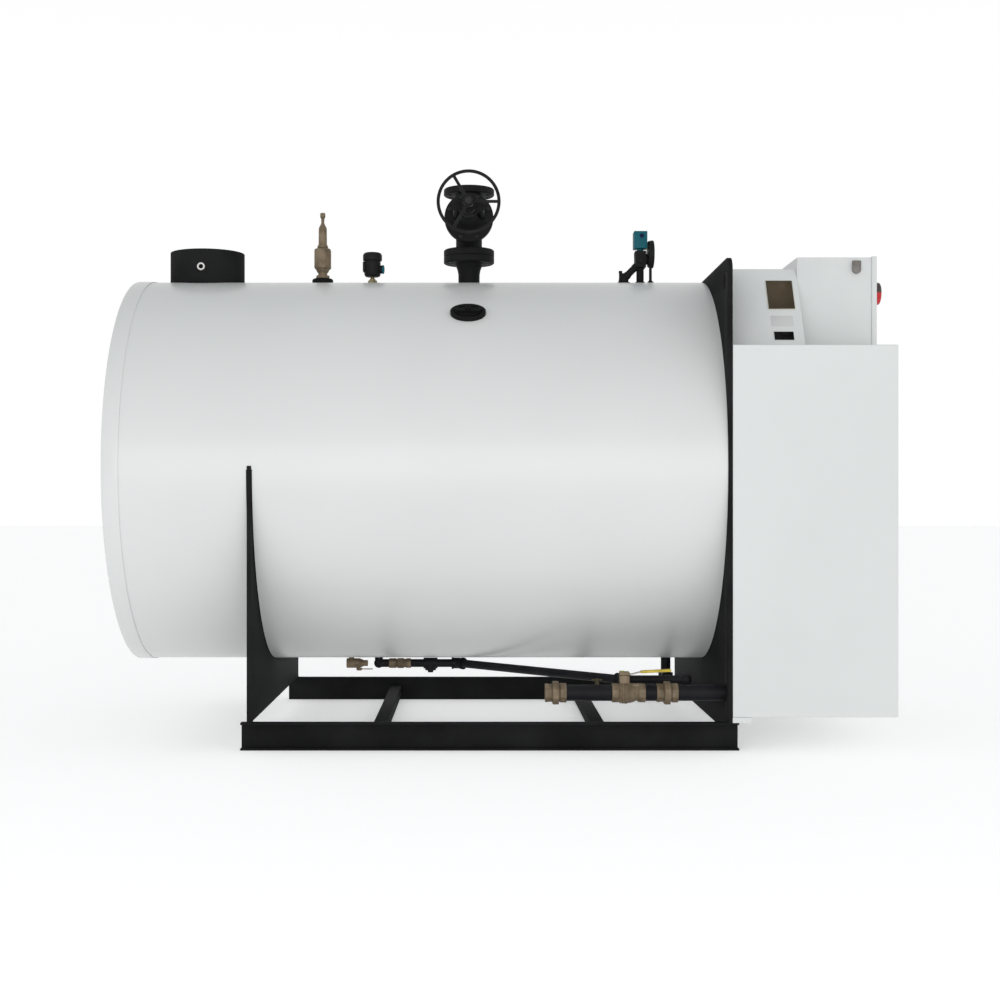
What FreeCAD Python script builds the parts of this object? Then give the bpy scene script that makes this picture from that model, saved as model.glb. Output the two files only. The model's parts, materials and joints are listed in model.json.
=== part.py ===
import FreeCAD, Part
import Sketcher
import math
import os
import re

# Horizontal fire-tube steam boiler on a two-rail skid.
# +X runs from the rear cap to the burner end, -Y is the side with the gas line,
# +Z is up.  The origin is on the floor, midway between the two ends of the boiler;
# the places below are counted from the middle of the skid and shifted as one.

doc = FreeCAD.newDocument("boiler")
sheet = doc.addObject("Spreadsheet::Sheet", "dims")

SIZES = {
    # skid: two 4-inch channels, flanges outward, with two square cross members
    "rail_length": 1833.0,
    "rail_height": 101.6,
    "rail_flange": 40.1,
    "rail_web": 4.7,
    "rail_flange_thick": 7.5,
    "saddle_margin": 5.0,
    "member_size": 50.8,
    "member_rise": 15.0,
    "member_spacing": 840.0,
    # saddle and front plate
    "plate_thick": 16.0,
    "plate_inset": 24.0,
    "plate_top_drop": 4.0,
    "plate_corner": 50.0,
    "plate_tongue": 40.0,
    "lifting_hole": 30.0,
    "lifting_hole_side": 94.0,
    "lifting_hole_top": 81.0,
    "gas_hole_gap": 2.0,
    # jacketed vessel
    "jacket_radius": 775.0,
    "jacket_wall": 60.0,
    "drum_lift": 168.8,
    "rear_overhang": 537.8,
    "cap_depth": 64.0,
    "cap_skin": 8.0,
    "cap_proud": 3.0,
    "cover_radius": 310.0,
    "cover_thick": 14.0,
    "seat_gap": 0.2,
    "sink": 30.0,
    # vent collar
    "vent_setback": 263.3,
    "vent_radius": 152.4,
    "vent_wall": 5.0,
    "vent_height": 126.0,
    "test_radius": 16.0,
    "test_bore": 9.0,
    "test_length": 15.0,
    "test_height": 51.0,
    # safety valve
    "safety_setback": 204.5,
    "safety_bushing": 43.5,
    "safety_bushing_rise": 22.8,
    "safety_foot": 30.5,
    "safety_foot_length": 13.0,
    "safety_neck": 18.9,
    "safety_neck_length": 12.0,
    "safety_shoulder": 22.9,
    "safety_shoulder_top": 29.0,
    "safety_shoulder_length": 14.5,
    "safety_body": 36.5,
    "safety_body_length": 85.5,
    "safety_chamfer": 6.0,
    "safety_collar": 22.0,
    "safety_collar_length": 17.0,
    "safety_bonnet": 17.4,
    "safety_bonnet_length": 73.0,
    "safety_taper_length": 14.0,
    "safety_spindle": 7.3,
    "safety_spindle_length": 22.5,
    "safety_cap": 11.0,
    "safety_cap_length": 23.0,
    "safety_outlet": 24.0,
    "safety_outlet_wall": 7.2,
    "safety_outlet_length": 62.0,
    "safety_outlet_depth": 24.8,
    # level probe
    "probe_setback": 411.7,
    "probe_base": 21.0,
    "probe_base_rise": 15.5,
    "probe_stem": 8.0,
    "probe_stem_rise": 31.2,
    "probe_housing": 34.0,
    "probe_lid": 39.6,
    "probe_lid_height": 34.0,
    "probe_height": 100.0,
    "probe_plug": 19.0,
    "probe_plug_length": 10.5,
    "probe_port_wall": 3.0,
    "probe_port_rise": 12.0,
    "probe_chamfer": 8.0,
    # steam outlet: 3-inch class 300 nozzle and gate valve
    "steam_x": -78.7,
    "steam_pipe": 44.45,
    "steam_bore": 38.1,
    "steam_rise": 113.1,
    "hub_radius": 58.5,
    "hub_length": 45.0,
    "flange_radius": 104.8,
    "flange_thick": 28.6,
    "bolt_edge": 20.65,
    "bolt_hole": 11.1,
    "bolt_count": 8,
    "valve_length": 282.4,
    "valve_neck": 54.0,
    "valve_bore_depth": 28.6,
    "valve_belly": 78.0,
    "valve_branch": 70.0,
    "bonnet_flange": 99.8,
    "bonnet_thick": 24.0,
    "bonnet_reach": 123.0,
    "bonnet_flare": 58.0,
    "bonnet_flare_length": 33.2,
    "bonnet_neck": 44.0,
    "bonnet_neck_top": 30.0,
    "bonnet_neck_length": 49.8,
    "gland_radius": 26.0,
    "gland_length": 26.0,
    "yoke_spread": 52.0,
    "yoke_bar": 11.0,
    "yoke_bridge_height": 37.4,
    "yoke_hub": 30.0,
    "yoke_hub_length": 38.0,
    "yoke_reach": 400.0,
    "stem_radius": 11.0,
    "stem_bore_gap": 0.3,
    "wheel_standoff": 77.0,
    "wheel_radius": 117.5,
    "wheel_rim": 6.4,
    "wheel_spoke": 6.0,
    "wheel_hub": 21.0,
    "wheel_hub_length": 28.0,
    "wheel_nut": 17.0,
    "wheel_nut_length": 12.0,
    # handhole on the shoulder of the shell
    "handhole_x": -80.8,
    "handhole_crown_edge": 8.0,
    "handhole_crown_rise": 5.0,
    "handhole_stud_rise": 26.0,
    "handhole_angle": 49.8,
    "handhole_long": 68.5,
    "handhole_short": 51.0,
    "handhole_rim": 12.0,
    "handhole_rise": 14.0,
    "handhole_cover_gap": 1.0,
    "handhole_cover_rise": 8.0,
    "handhole_stud": 8.0,
    # pressure controls
    "manifold_setback": 242.7,
    "manifold_riser": 12.5,
    "manifold_foot": 20.0,
    "manifold_foot_rise": 10.0,
    "manifold_block_rise": 69.0,
    "manifold_block_height": 67.0,
    "manifold_block_width": 44.0,
    "manifold_block_depth": 60.0,
    "cutoff_spacing": 68.8,
    "cutoff_base": 29.0,
    "cutoff_base_rise": 7.0,
    "cutoff_body": 23.0,
    "cutoff_top": 16.1,
    "cutoff_rise": 45.0,
    "cutoff_link": 14.4,
    "cutoff_stub_back": 12.6,
    "cutoff_stub": 6.5,
    "cutoff_stub_rise": 56.0,
    "gauge_clearance": 3.7,
    "gauge_radius": 57.5,
    "gauge_thick": 24.0,
    "gauge_rise": 125.3,
    "gauge_leg": 6.0,
    "gauge_chamfer": 4.0,
    "gauge_foot": 19.0,
    "gauge_foot_rise": 14.0,
    "transmitter_width": 55.0,
    "transmitter_depth": 62.0,
    "transmitter_height": 71.0,
    "transmitter_neck": 13.0,
    "transmitter_neck_length": 11.0,
    # burner cabinet and controls
    "cabinet_length": 608.5,
    "bracket_height": 20.0,
    "cabinet_height": 1369.4,
    "cabinet_round": 4.0,
    "housing_inset": 314.0,
    "housing_height": 369.4,
    "cover_panel": 20.0,
    "cover_panel_proud": 4.0,
    "console_length": 299.5,
    "console_top_drop": 42.4,
    "console_bend_drop": 78.4,
    "console_foot_inset": 146.0,
    "screen_x": 226.3,
    "screen_width": 100.4,
    "screen_height": 133.0,
    "screen_thick": 6.0,
    "screen_drop": 96.0,
    "latch_width": 33.0,
    "latch_height": 50.0,
    "latch_thick": 12.0,
    "latch_inset": 63.0,
    "latch_drop": 14.0,
    "lamp_radius": 46.5,
    "lamp_bulge": 24.0,
    "lamp_bezel": 8.4,
    "lamp_dome_top": 37.2,
    "lamp_crown": 18.6,
    "lamp_crown_height": 7.2,
    "lamp_inset": 56.0,
    "lamp_drop": 134.0,
    "bracket_length": 72.0,
    "bracket_width": 40.0,
    # drain line, 1-inch pipe with threaded fittings
    "drain_clearance": 27.2,
    "drain_pipe": 16.7,
    "drain_elbow": 20.25,
    "drain_socket": 22.5,
    "drain_socket_length": 29.0,
    "drain_band": 4.0,
    "drain_plug": 11.25,
    "drain_plug_length": 9.0,
    "riser_setback": 422.5,
    "riser_run": 42.2,
    "drain_union_length": 91.4,
    "drain_union_radius": 23.0,
    "drain_union_chamfer": 2.0,
    "tee_spacing": 81.4,
    "bend_spacing": 117.0,
    "drain_inset": 155.0,
    "drain_foot_drop": 80.4,
    "drop_setback": 136.1,
    "drop_radius": 20.0,
    "drop_socket": 30.0,
    "drop_socket_rise": 14.0,
    "drop_branch": 24.75,
    "drop_branch_length": 52.0,
    "cock_spacing": 134.0,
    "cock_length": 54.0,
    "cock_taper_length": 18.0,
    "cock_spout": 12.4,
    "cock_spout_length": 16.0,
    "cock_bore": 8.4,
    "cock_bore_depth": 35.0,
    "cock_radius": 20.0,
    "cock_nipple": 10.7,
    "cock_stem": 8.0,
    "cock_stem_drop": 30.0,
    "cock_stem_back": 48.4,
    "cock_lever_length": 66.0,
    "cock_lever_width": 12.0,
    "cock_lever_thick": 3.0,
    "cock_lever_drop": 26.0,
    # gas line, 2-inch pipe
    "gas_inset": 80.0,
    "gas_rise": 101.6,
    "gas_pipe": 30.15,
    "gas_wall": 3.85,
    "union_wall": 5.85,
    "union_tail_wall": 7.85,
    "union_nut_wall": 15.35,
    "union_nut_length": 24.0,
    "union_length": 80.0,
    "union_stop": 8.0,
    "union_inlet_setback": 670.5,
    "union_burner_setback": 256.0,
    "ball_valve_setback": 421.9,
    "ball_valve_length": 124.8,
    "ball_valve_wall": 10.85,
    "ball_valve_socket_wall": 6.85,
    "ball_valve_socket_length": 27.0,
    "ball_valve_waist": 4.0,
    "ball_valve_front": 18.0,
    "ball_valve_middle": 25.0,
    "ball_valve_stem_back": 47.2,
    "ball_valve_boss": 19.0,
    "ball_valve_boss_rise": 25.0,
    "ball_valve_stem": 7.0,
    "ball_valve_stem_rise": 13.0,
    "lever_gap": 0.3,
    "lever_thick": 4.0,
    "lever_width": 22.0,
    "lever_length": 183.0,
    "grip_length": 113.0,
    "grip_width": 26.0,
    "grip_height": 13.0,
    "grip_end": 2.0,
    "petcock_setback": 476.5,
    "petcock_body": 8.0,
    "petcock_rise": 14.0,
    "petcock_shank": 6.0,
    "petcock_handle": 38.0,
    "petcock_hub": 5.7,
    "petcock_handle_radius": 3.2,
    "petcock_handle_rise": 8.0,
    "petcock_stem": 2.5,
}

for row, (alias, value) in enumerate(SIZES.items(), start=1):
    sheet.set("A%d" % row, alias)
    sheet.set("B%d" % row, str(value))
    sheet.setAlias("B%d" % row, alias)
doc.recompute()

# Places that follow from the driving sizes, each written in terms of them.
PLACES = {
    "half_width": "jacket_radius + saddle_margin",
    "web_in": "half_width - rail_flange",
    "drum_bottom": "rail_height + drum_lift",
    "axis_height": "drum_bottom + jacket_radius",
    "drum_top": "drum_bottom + 2 * jacket_radius",
    "plate_out": "rail_length / 2 - plate_inset",
    "plate_in": "plate_out - plate_thick",
    "plate_top": "drum_top - plate_top_drop",
    "rear_end": "-plate_out - rear_overhang",
    "mid_shift": "(rear_overhang + cover_thick - cabinet_length - lamp_bulge) / 2",
    "vent_x": "rear_end + vent_setback",
    "safety_x": "-plate_out + safety_setback",
    "safety_base": "drum_top + safety_bushing_rise",
    "safety_outlet_height": "safety_base + safety_foot_length + safety_neck_length"
                            " + safety_shoulder_length + safety_body_length / 2",
    "probe_x": "-plate_out + probe_setback",
    "bolt_circle": "flange_radius - bolt_edge",
    "valve_foot": "drum_top + steam_rise",
    "valve_height": "valve_foot + valve_length / 2",
    "valve_top": "valve_foot + valve_length",
    "bonnet_top": "bonnet_reach + bonnet_thick",
    "stem_start": "bonnet_top + bonnet_flare_length + bonnet_neck_length",
    "wheel_reach": "yoke_reach + wheel_standoff",
    "wheel_back": "wheel_reach - wheel_hub_length / 2",
    "manifold_x": "plate_in - manifold_setback",
    "manifold_top": "drum_top + manifold_block_rise + manifold_block_height",
    "cutoff_x": "manifold_x - cutoff_spacing",
    "gauge_back": "manifold_x + transmitter_width / 2 + gauge_clearance",
    "gauge_x": "gauge_back + gauge_thick / 2",
    "gauge_height": "drum_top + gauge_rise",
    "cabinet_rise": "rail_height + bracket_height",
    "cabinet_top": "cabinet_rise + cabinet_height",
    "cabinet_end": "plate_out + cabinet_length",
    "housing_x": "plate_out + console_length",
    "housing_length": "cabinet_length - console_length - cover_panel",
    "housing_half_width": "half_width - housing_inset",
    "housing_top": "cabinet_top + housing_height",
    "console_foot": "half_width - console_foot_inset",
    "console_bend": "housing_top - console_bend_drop",
    "face_slope": "(console_foot - housing_half_width) / (console_bend - cabinet_top)",
    "console_top": "housing_top - console_top_drop",
    "console_top_front": "housing_half_width - (console_top - console_bend) * face_slope",
    "screen_foot": "housing_top - screen_drop - screen_height * cos(atan(face_slope))",
    "latch_x": "cabinet_end - latch_inset - latch_width / 2",
    "latch_middle": "housing_top - latch_drop - latch_height + latch_width / 2",
    "drain_height": "drum_bottom - drain_clearance",
    "drain_foot": "drum_bottom - drain_foot_drop",
    "drain_reach": "half_width - drain_inset",
    "riser_x": "-plate_in + riser_setback",
    "drain_union_x": "riser_x + riser_run",
    "drain_union_end": "drain_union_x + drain_union_length",
    "tee_x": "drain_union_end + tee_spacing",
    "bend_x": "tee_x + bend_spacing",
    "turn_x": "bend_x + drain_reach",
    "drop_x": "plate_in - drop_setback",
    "cock_x": "riser_x - cock_spacing",
    "gas_y": "-(half_width - gas_inset)",
    "gas_height": "rail_height + gas_rise",
    "union_radius": "gas_pipe + union_wall",
    "ball_valve_body": "gas_pipe + ball_valve_wall",
    "ball_valve_socket": "gas_pipe + ball_valve_socket_wall",
    "ball_valve_x": "plate_in - ball_valve_setback",
    "ball_valve_stem_x": "ball_valve_x + ball_valve_stem_back",
    "ball_valve_boss_top": "gas_height + ball_valve_body + ball_valve_boss_rise",
    "lever_seat": "ball_valve_boss_top + lever_gap",
    "lever_end": "ball_valve_stem_x - lever_width / 2 + lever_length",
    "petcock_x": "plate_in - petcock_setback",
    "pipe_top": "gas_height + gas_pipe",
    "petcock_top": "pipe_top + petcock_rise",
}

nodes = {}


def sized(text):
    """Write out the places named in an expression and point each size at its cell."""

    def spell(word):
        if word.group() in PLACES:
            return "(" + sized(PLACES[word.group()]) + ")"
        return "dims." + word.group() if word.group() in SIZES else word.group()

    return re.sub(r"[a-z]\w*", spell, text)


def place(piece, at, direction=(0, 0, 1)):
    """Turn a piece's own Z to a direction and bind its base point."""
    turn = FreeCAD.Rotation(FreeCAD.Vector(0, 0, 1), FreeCAD.Vector(*direction))
    piece.Placement = FreeCAD.Placement(FreeCAD.Vector(0, 0, 0), turn)
    shifted = (at[0] + " + mid_shift", at[1], at[2])
    for letter, text in zip("xyz", shifted):
        piece.setExpression("Placement.Base." + letter, sized(text))
    return piece


def block(name, size, at):
    piece = doc.addObject("Part::Box", name)
    for side, text in zip(("Length", "Width", "Height"), size):
        piece.setExpression(side, sized(text))
    return place(piece, at)


def rod(name, radius, length, at, direction=(0, 0, 1)):
    piece = doc.addObject("Part::Cylinder", name)
    piece.setExpression("Radius", sized(radius))
    piece.setExpression("Height", sized(length))
    return place(piece, at, direction)


def cone(name, radius_start, radius_end, length, at, direction=(0, 0, 1)):
    piece = doc.addObject("Part::Cone", name)
    piece.setExpression("Radius1", sized(radius_start))
    piece.setExpression("Radius2", sized(radius_end))
    piece.setExpression("Height", sized(length))
    return place(piece, at, direction)


def ball(name, radius, at):
    piece = doc.addObject("Part::Sphere", name)
    piece.setExpression("Radius", sized(radius))
    return place(piece, at)


def fuse(name, pieces):
    joined = doc.addObject("Part::MultiFuse", name)
    joined.Shapes = pieces
    joined.Refine = True
    return joined


def cut(name, base, tools):
    remaining = doc.addObject("Part::Cut", name)
    remaining.Base = base
    remaining.Tool = tools[0] if len(tools) == 1 else fuse(name + "_tools", tools)
    return remaining


def node(name, piece):
    piece.Label = name
    nodes[name] = piece
    return piece


def outline(body, plane, corners):
    """Closed outline of straight lines, each corner bound to the sheet."""
    sketch = body.newObject("Sketcher::SketchObject", body.Name + "_outline")
    origin = [item for item in body.Origin.OriginFeatures if item.Role == plane][0]
    sketch.AttachmentSupport = [(origin, "")]
    sketch.MapMode = "FlatFace"
    count = len(corners)
    turn = 2 * math.pi / count
    starts = [FreeCAD.Vector(100 * math.cos(turn * step), 100 * math.sin(turn * step), 0)
              for step in range(count)]
    for step in range(count):
        sketch.addGeometry(Part.LineSegment(starts[step], starts[(step + 1) % count]), False)
    for step in range(count):
        sketch.addConstraint(Sketcher.Constraint("Coincident", step, 2, (step + 1) % count, 1))
    for step, corner in enumerate(corners):
        for axis, text, line in (("X", corner[0], -2), ("Y", corner[1], -1)):
            if text == "0":
                sketch.addConstraint(Sketcher.Constraint("PointOnObject", step, 1, line))
                continue
            index = sketch.addConstraint(
                Sketcher.Constraint("Distance" + axis, -1, 1, step, 1, 10.0))
            label = "corner%d_%s" % (step, axis.lower())
            sketch.renameConstraint(index, label)
            sketch.setExpression("Constraints." + label, sized(text))
    return sketch


def padded(name, plane, corners, length, at):
    """Body padded from an outline on one of its origin planes."""
    body = doc.addObject("PartDesign::Body", name)
    sketch = outline(body, plane, corners)
    pad = body.newObject("PartDesign::Pad", name + "_pad")
    pad.Profile = sketch
    pad.setExpression("Length", sized(length))
    sketch.Visibility = False
    return place(body, at)


def turned(name, steps, at, direction=(0, 0, 1)):
    """Body turned on a lathe: steps of (start radius, end radius, length) along its axis."""
    body = doc.addObject("PartDesign::Body", name)
    corners = [("0", "0")]
    height = "0"
    for start, end, length in steps:
        if corners[-1] != (start, height):
            corners.append((start, height))
        height = length if height == "0" else height + " + " + length
        corners.append((end, height))
    corners.append(("0", height))
    sketch = outline(body, "XZ_Plane", corners)
    spin = body.newObject("PartDesign::Revolution", name + "_spin")
    spin.Profile = sketch
    spin.ReferenceAxis = (sketch, ["V_Axis"])
    spin.Angle = 360.0
    return place(body, at, direction)


def bolt_holes(name, at, direction=(0, 0, 1)):
    """Ring of bolt holes through one flange, first holes astride the centre lines."""
    holes = []
    for step in range(int(SIZES["bolt_count"])):
        angle = "(%s + 0.5) * 360 / bolt_count" % step
        across = "bolt_circle * cos(%s)" % angle
        along = "bolt_circle * sin(%s)" % angle
        centre = (at[0] + " + " + across, at[1] + " + " + along, at[2])
        holes.append(rod("%s_hole_%d" % (name, step), "bolt_hole", "flange_thick", centre,
                         direction))
    return holes


def elbow(name, at, first, second, radius="drain_socket", length="drain_socket_length"):
    """Threaded elbow: a ball at the corner and two banded sockets."""
    pieces = [ball(name + "_ball", radius, at)]
    for index, direction in enumerate((first, second)):
        pieces.append(rod("%s_socket_%d" % (name, index), radius, length, at, direction))
        size = math.sqrt(sum(part * part for part in direction))
        start = tuple("%s + (%s - 2 * drain_band) * %.6f" % (base, length, part / size)
                      for base, part in zip(at, direction))
        pieces.append(rod("%s_band_%d" % (name, index), radius + " + drain_band / 2",
                          "2 * drain_band", start, direction))
    return pieces


drum = rod("drum_seat", "jacket_radius + seat_gap",
           "rail_length + rear_overhang + cabinet_length",
           ("rear_end - cap_depth", "0", "axis_height"), (1, 0, 0))


# ---------------------------------------------------------------- skid

def build_skid():
    for name, side in (("skid_rail_left", "-"), ("skid_rail_right", "")):
        tip = side + "half_width"
        web_in = side + "web_in"
        web_out = side + "(web_in + rail_web)"
        corners = [(tip, "0"), (web_in, "0"), (web_in, "rail_height"), (tip, "rail_height"),
                   (tip, "rail_height - rail_flange_thick"),
                   (web_out, "rail_height - rail_flange_thick"),
                   (web_out, "rail_flange_thick"), (tip, "rail_flange_thick")]
        node(name, padded(name, "YZ_Plane", corners, "rail_length",
                          ("-rail_length / 2", "0", "0")))
    for name, side in (("cross_member_rear", "-"), ("cross_member_front", "")):
        centre = side + "member_spacing / 2"
        node(name, block(name, ("member_size", "2 * web_in", "member_size"),
                         (centre + " - member_size / 2", "-web_in", "member_rise")))


def build_saddle():
    plate = block("saddle_plate", ("plate_thick", "2 * half_width", "axis_height - rail_height"),
                  ("-plate_out", "-half_width", "rail_height"))
    node("rear_saddle", cut("rear_saddle", plate, [drum]))


def build_front_plate():
    pieces = [
        block("plate_wide", ("plate_thick", "2 * half_width",
                             "plate_top - plate_corner - rail_height"),
              ("plate_in", "-half_width", "rail_height")),
        block("plate_crown", ("plate_thick", "2 * (half_width - plate_corner)",
                              "plate_corner * 2"),
              ("plate_in", "-half_width + plate_corner", "plate_top - 2 * plate_corner")),
        block("plate_tongue_bar", ("plate_thick", "2 * web_in", "plate_tongue * 2"),
              ("plate_in", "-web_in", "rail_height - plate_tongue")),
    ]
    holes = []
    for side, sign in (("left", "-"), ("right", "")):
        corner_y = sign + "(half_width - plate_corner)"
        pieces.append(rod("plate_corner_" + side, "plate_corner", "plate_thick",
                          ("plate_in", corner_y, "plate_top - plate_corner"), (1, 0, 0)))
        hole_y = sign + "(half_width - lifting_hole_side)"
        holes.append(rod("lifting_hole_" + side, "lifting_hole", "plate_thick",
                         ("plate_in", hole_y, "plate_top - lifting_hole_top"), (1, 0, 0)))
    holes.append(rod("gas_hole", "gas_pipe + gas_hole_gap", "plate_thick",
                     ("plate_in", "gas_y", "gas_height"), (1, 0, 0)))
    node("front_plate", cut("front_plate", fuse("plate_blank", pieces), holes))


# ---------------------------------------------------------------- vessel

def build_vessel():
    length = "plate_in - rear_end - cap_skin"
    at = ("rear_end + cap_skin", "0", "axis_height")
    skin = rod("jacket_outside", "jacket_radius", length, at, (1, 0, 0))
    hollow = rod("jacket_inside", "jacket_radius - jacket_wall", length, at, (1, 0, 0))
    flue = rod("jacket_flue", "vent_radius - vent_wall", "jacket_radius + sink",
               ("vent_x", "0", "axis_height"))
    node("jacket_shell", cut("jacket_shell", skin, [hollow, flue]))

    blank = rod("cap_blank", "jacket_radius + cap_proud", "cap_depth",
                ("rear_end", "0", "axis_height"), (1, 0, 0))
    recess = rod("cap_recess", "jacket_radius + seat_gap", "cap_depth",
                 ("rear_end + cap_skin", "0", "axis_height"), (1, 0, 0))
    node("rear_end_cap", cut("rear_end_cap", blank, [recess]))

    steps = [("cover_radius - cover_thick", "cover_radius", "cover_thick / 2"),
             ("cover_radius", "cover_radius", "cover_thick / 2")]
    node("rear_access_cover", turned("rear_access_cover", steps,
                                     ("rear_end - cover_thick", "0", "axis_height"), (1, 0, 0)))


def build_vent():
    at = ("vent_x", "0", "drum_top - sink")
    tube = rod("collar_outside", "vent_radius", "vent_height + sink", at)
    flue = rod("collar_inside", "vent_radius - vent_wall", "vent_height + 2 * sink", at)
    node("vent_collar", cut("vent_collar", tube, [flue, drum]))

    height = "drum_top + test_height"
    start = ("vent_x", "-(vent_radius + test_length)", height)
    boss = rod("test_outside", "test_radius", "test_length * 2", start, (0, 1, 0))
    hole = rod("test_inside", "test_bore", "test_length * 2", start, (0, 1, 0))
    stack = rod("test_seat", "vent_radius + seat_gap", "vent_height + sink", at)
    node("vent_test_coupling", cut("vent_test_coupling", boss, [hole, stack]))


def build_handhole():
    def oval(name, long, short, start, length):
        curve = doc.addObject("Part::Ellipse", name + "_curve")
        curve.setExpression("MajorRadius", sized(long))
        curve.setExpression("MinorRadius", sized(short))
        place(curve, ("handhole_x", "-(%s) * cos(handhole_angle)" % start,
                      "axis_height + (%s) * sin(handhole_angle)" % start))
        curve.Placement.Rotation = FreeCAD.Rotation(FreeCAD.Vector(1, 0, 0), 90)
        curve.setExpression("Placement.Rotation.Angle", sized("90 - handhole_angle"))
        solid = doc.addObject("Part::Extrusion", name)
        solid.Base = curve
        solid.DirMode = "Normal"
        solid.Solid = True
        solid.setExpression("LengthFwd", sized(length))
        return solid

    inner = "jacket_radius - sink"
    ring = oval("handhole_outside", "handhole_long", "handhole_short", inner,
                "handhole_rise + sink")
    hole = oval("handhole_inside", "handhole_long - handhole_rim",
                "handhole_short - handhole_rim", inner, "handhole_rise + 2 * sink")
    node("handhole_ring", cut("handhole_ring", ring, [hole, drum]))

    along = "handhole_long - handhole_rim - handhole_cover_gap"
    across = "handhole_short - handhole_rim - handhole_cover_gap"
    edge = " - handhole_crown_edge"
    lid = oval("handhole_lid", along, across, inner, "handhole_cover_rise + sink")
    crown = oval("handhole_crown", along + edge, across + edge, "jacket_radius",
                 "handhole_cover_rise + handhole_crown_rise")
    stud = oval("handhole_stud_bar", "handhole_stud", "handhole_stud", "jacket_radius",
                "handhole_stud_rise")
    whole = fuse("handhole_cover_blank", [lid, crown, stud])
    node("handhole_cover", cut("handhole_cover", whole, [drum]))


# ---------------------------------------------------------------- top fittings

def build_safety_valve():
    bushing = rod("bushing_blank", "safety_bushing", "safety_bushing_rise + sink",
                  ("safety_x", "0", "drum_top - sink"))
    node("safety_valve_bushing", cut("safety_valve_bushing", bushing, [drum]))
    steps = [("safety_foot", "safety_foot", "safety_foot_length"),
             ("safety_neck", "safety_neck", "safety_neck_length"),
             ("safety_shoulder", "safety_shoulder_top", "safety_shoulder_length"),
             ("safety_body", "safety_body", "safety_body_length - safety_chamfer"),
             ("safety_body", "safety_body - safety_chamfer", "safety_chamfer"),
             ("safety_collar", "safety_collar", "safety_collar_length"),
             ("safety_bonnet", "safety_bonnet", "safety_bonnet_length"),
             ("safety_bonnet", "safety_bonnet / 2", "safety_taper_length"),
             ("safety_spindle", "safety_spindle", "safety_spindle_length"),
             ("safety_cap", "safety_cap", "safety_cap_length")]
    stack = turned("safety_valve_stack", steps, ("safety_x", "0", "safety_base"))
    outlet = rod("safety_valve_outlet", "safety_outlet", "safety_outlet_length",
                 ("safety_x", "0", "safety_outlet_height"), (0, 1, 0))
    whole = fuse("safety_valve_blank", [stack, outlet])
    bore = rod("safety_valve_bore", "safety_outlet - safety_outlet_wall", "safety_outlet_depth",
               ("safety_x", "safety_outlet_length - safety_outlet_depth",
                "safety_outlet_height"), (0, 1, 0))
    node("safety_valve", cut("safety_valve", whole, [bore]))


def build_probe():
    base = rod("probe_base_blank", "probe_base", "probe_base_rise + sink",
               ("probe_x", "0", "drum_top - sink"))
    stem = rod("probe_stem_rod", "probe_stem", "probe_stem_rise",
               ("probe_x", "0", "drum_top"))
    nipple = fuse("probe_nipple_blank", [base, stem])
    node("probe_nipple", cut("probe_nipple", nipple, [drum]))
    start = "drum_top + probe_stem_rise"
    steps = [("probe_housing - probe_chamfer", "probe_housing", "probe_chamfer"),
             ("probe_housing", "probe_housing",
              "probe_height - probe_lid_height - probe_chamfer"),
             ("probe_lid", "probe_lid", "probe_lid_height - probe_chamfer"),
             ("probe_lid", "probe_lid - probe_chamfer", "probe_chamfer")]
    can = turned("probe_can", steps, ("probe_x", "0", start))
    port_height = start + " + probe_plug + probe_port_rise"
    port = rod("probe_port", "probe_plug - probe_port_wall", "probe_lid",
               ("probe_x", "0", port_height), (1, 0, 0))
    node("probe_housing", fuse("probe_housing", [can, port]))
    node("probe_plug", rod("probe_plug", "probe_plug", "probe_plug_length",
                           ("probe_x + probe_lid", "0", port_height), (1, 0, 0)))


def build_steam_outlet():
    low = "drum_top - sink"
    flange_low = "valve_foot - flange_thick"
    pieces = [
        rod("nozzle_pipe", "steam_pipe", "steam_rise + sink", ("steam_x", "0", low)),
        cone("nozzle_hub", "steam_pipe", "hub_radius", "hub_length",
             ("steam_x", "0", flange_low + " - hub_length")),
        rod("nozzle_flange", "flange_radius", "flange_thick", ("steam_x", "0", flange_low)),
    ]
    holes = bolt_holes("nozzle", ("steam_x", "0", flange_low))
    node("steam_nozzle", cut("steam_nozzle", fuse("nozzle_blank", pieces), holes + [drum]))


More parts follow.
